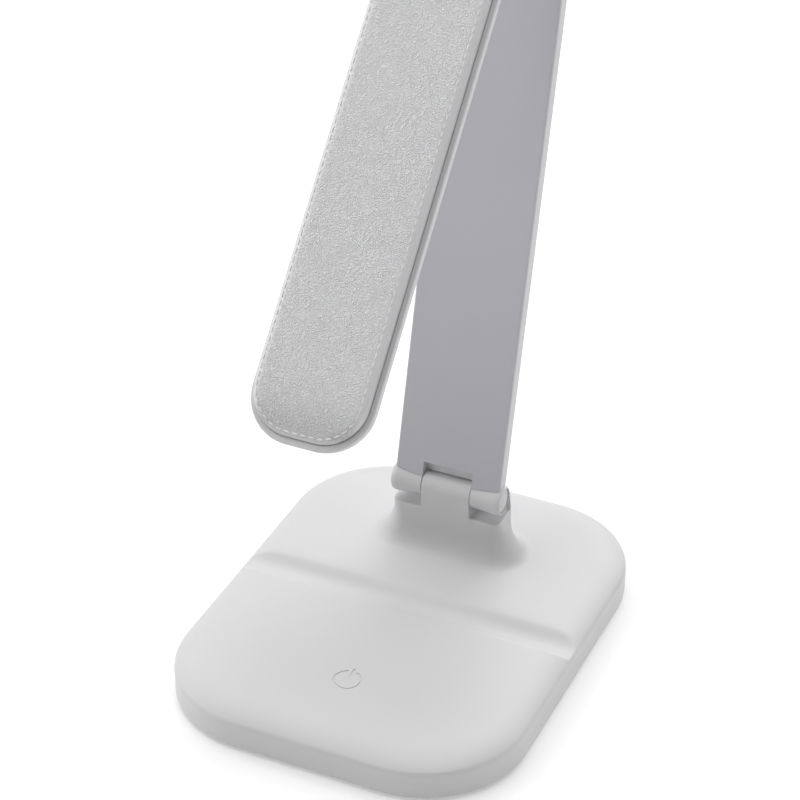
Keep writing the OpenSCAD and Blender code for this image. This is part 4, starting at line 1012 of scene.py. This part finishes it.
# %% Metal finishes
def metal(name, color, roughness, lines=(1, 1, 1), size=0.0006, depth=0.000006, spread=0.06):
    """Bare or plated metal: cloudy tone, drifting gloss and fine lines along one axis."""
    finish = Finish(name, Metallic=1.0)
    finish.shades(color, spread, 0.004).gloss(roughness, 0.07, 0.003)
    return finish.bump(finish.noise(size, 2.0, stretch=lines), depth, 0.5).material


def dressed(finish, *names):
    """Gives solids that keep their own shape their finish."""
    for name in names:
        NODE[name].data.materials.clear()
        NODE[name].data.materials.append(finish)
    print(finish.name, "on", *names)


dressed(metal("zinc_steel", (0.60, 0.61, 0.62), 0.36, (1, 0.12, 1)), "counterweight", "neck_bracket",
        "arm_core", "weight_screws", "board_screws", "bracket_screws", "led_screws", "lower_nut", "upper_nut")
dressed(metal("ground_steel", (0.66, 0.66, 0.67), 0.24, (0.1, 1, 1), 0.0003), "lower_pin", "upper_pin")
dressed(metal("spring_steel", (0.42, 0.43, 0.46), 0.3, (1, 1, 1), 0.0004),
        "lower_disc_springs", "upper_disc_springs")
dressed(metal("sintered_bronze", (0.60, 0.41, 0.20), 0.5, (1, 1, 1), 0.00015, 0.00002),
        "lower_bush", "upper_bush")
dressed(metal("plated_steel", (0.74, 0.73, 0.71), 0.22, (1, 0.2, 1), 0.0004), "usb_socket")
dressed(metal("copper_foil", (0.86, 0.47, 0.30), 0.32, (1, 0.3, 1), 0.0005), "touch_electrode")

# %% [markdown]
# ## The base's screws
# Four small pan-head screws with a cross recess hold the base's plate. One is turned and its recess
# milled, and the grid tree sets all four. The thread is a row of fine ridges down the shank.

# %% Cross-head screws
black_oxide = metal("black_oxide", (0.10, 0.10, 0.11), 0.42, (1, 1, 1), 0.0004, 0.000005, 0.1)
SHANK_R, ROOT_R, HEAD_R, CROSS_HALF, CROSS_WIDE = 0.98, 0.84, 2.09, 1.15, 0.22
ridges = [(2.3 + 0.2 * k, ROOT_R if k % 2 else SHANK_R) for k in range(22)]
pan_head = [(1.22, 0), (1.22, 1.6), (1.35, 1.95), (1.6, HEAD_R), (2.18, HEAD_R), (2.19, SHANK_R)]
screw = turned("screw", [*pan_head, *ridges, (6.98, 0.5), (6.98, 0)], 32)
screw.data.transform(Matrix.Rotation(radians(-90), 4, "Y"))
cut(screw, *(block(-x, x, -y, y, 0, 1.9) for x, y in ((CROSS_HALF, CROSS_WIDE), (CROSS_WIDE, CROSS_HALF))))
screws = patterned("screws", screw, 2, 2, 2 * SCREW_X, 2 * SCREW_Y, (0, 0, 0), black_oxide)
finished(screws, "cover_screws", BASE, "base", black_oxide, "dark_steel", "base_screws")

# %% [markdown]
# ## Boards, films, rubber and the battery
# The boards are glass laminate under solder mask, with tracks that show as slightly lighter ridges.
# Films are amber polyimide with fine parallel conductors. The foot is a soft rubber with a matt skin,
# and the cell is wrapped in a crinkled aluminium pouch.

# %% Finishes of boards and films
def board(name, mask, track):
    """Solder mask over tracks that run in angular cells."""
    finish = Finish(name, Specular_IOR_Level=0.5, Coat_Weight=0.3, Coat_Roughness=0.2)
    tracks = finish.eased(finish.cells(finish.place, 260, Randomness=0.85), 0.05, 0.11, 1.0, 0.0)
    finish.feed("Base Color", finish.mix(tracks * 0.8 + finish.noise(0.004) * 0.2, mask, track))
    return finish.gloss(0.35, 0.06, 0.002).bump(tracks, 0.00003, 0.7).material


def film(name):
    """Polyimide film with conductors every 0.6 mm across it."""
    finish = Finish(name, Specular_IOR_Level=0.5)
    waves = finish.add("ShaderNodeTexWave", {"wave_type": "BANDS", "bands_direction": "X"},
                       {"Vector": finish.place, "Scale": 520, "Distortion": 0.0})
    lines = finish.eased(waves, 0.35, 0.6)
    finish.feed("Base Color", finish.mix(lines, (0.34, 0.15, 0.03, 1), (0.62, 0.33, 0.10, 1)))
    return finish.gloss(0.3, 0.05, 0.002).bump(lines, 0.00002).material


def soft_rubber(name, shade, roughness, pore, depth):
    """Rubber or foam with a matt, porous skin."""
    finish = Finish(name, Specular_IOR_Level=0.3)
    finish.shades((shade, shade, shade * 1.03), 0.12, 0.006).gloss(roughness, 0.06, 0.004)
    return finish.bump(finish.noise(pore, 3.0), depth, 0.9).material


def pouch():
    """Aluminium laminate, crinkled across the cell."""
    finish = Finish("battery_pouch", Metallic=0.85)
    crinkle = finish.noise(0.006, 3.0, stretch=(0.4, 1, 1))
    finish.shades((0.52, 0.54, 0.57), 0.05, 0.01).gloss(0.4, 0.08, 0.004)
    return finish.bump(crinkle, 0.0003, 0.7).material


dressed(board("green_mask", (0.02, 0.16, 0.06, 1), (0.05, 0.27, 0.11, 1)), "main_board", "touch_board")
dressed(board("white_mask", (0.76, 0.76, 0.75, 1), (0.84, 0.84, 0.83, 1)), "led_board")
dressed(film("amber_film"), "touch_ribbon", "neck_ribbon", "arm_ribbon", "head_ribbon")
dressed(soft_rubber("foot_rubber", 0.28, 0.78, 0.0004, 0.00004), "foot_pad")
dressed(soft_rubber("foam_tape", 0.68, 0.9, 0.0009, 0.00015), "battery_tape")
dressed(pouch(), "battery")
dressed(moulded("black_epoxy", (0.022, 0.022, 0.024), 0.4, 0.0002, 0.000008, 0.2), "board_parts")
dressed(moulded("black_nylon", (0.03, 0.03, 0.032), 0.5, 0.0003, 0.00001, 0.15),
        "lower_washers", "upper_washers")
dressed(moulded("grey_plastic", (0.42, 0.42, 0.43), 0.5), "trim_plate")
dressed(moulded("base_plastic", (0.66, 0.66, 0.668), 0.5), "base_plate")
dressed(moulded("reflector_film", (0.88, 0.88, 0.87), 0.3, 0.0004, 0.00001), "reflector")

# %% Floor and room
sweep_finish = Finish("white_sweep", Roughness=0.9, Specular_IOR_Level=0.2, Base_Color=(0.8, 0.8, 0.8, 1),
                      Emission_Color=(1, 1, 1, 1), Emission_Strength=0.24)
ROOM_HALF = 8
corners = [(x * ROOM_HALF, y * ROOM_HALF, 0) for x, y in ((-1, -1), (1, -1), (1, 1), (-1, 1))]
floor = linked("floor", bpy.data.meshes.new("floor"))
floor.data.from_pydata(corners, [], [(0, 1, 2, 3)])
floor.data.materials.append(sweep_finish.material)
room = bpy.data.worlds.new("room")
room.use_nodes = True
room.node_tree.nodes["Background"].inputs["Color"].default_value = (1, 1, 1, 1)
room.node_tree.nodes["Background"].inputs["Strength"].default_value = 0.0
bpy.context.scene.world = room
print("floor", floor.data.polygons[0].area, "square metres")
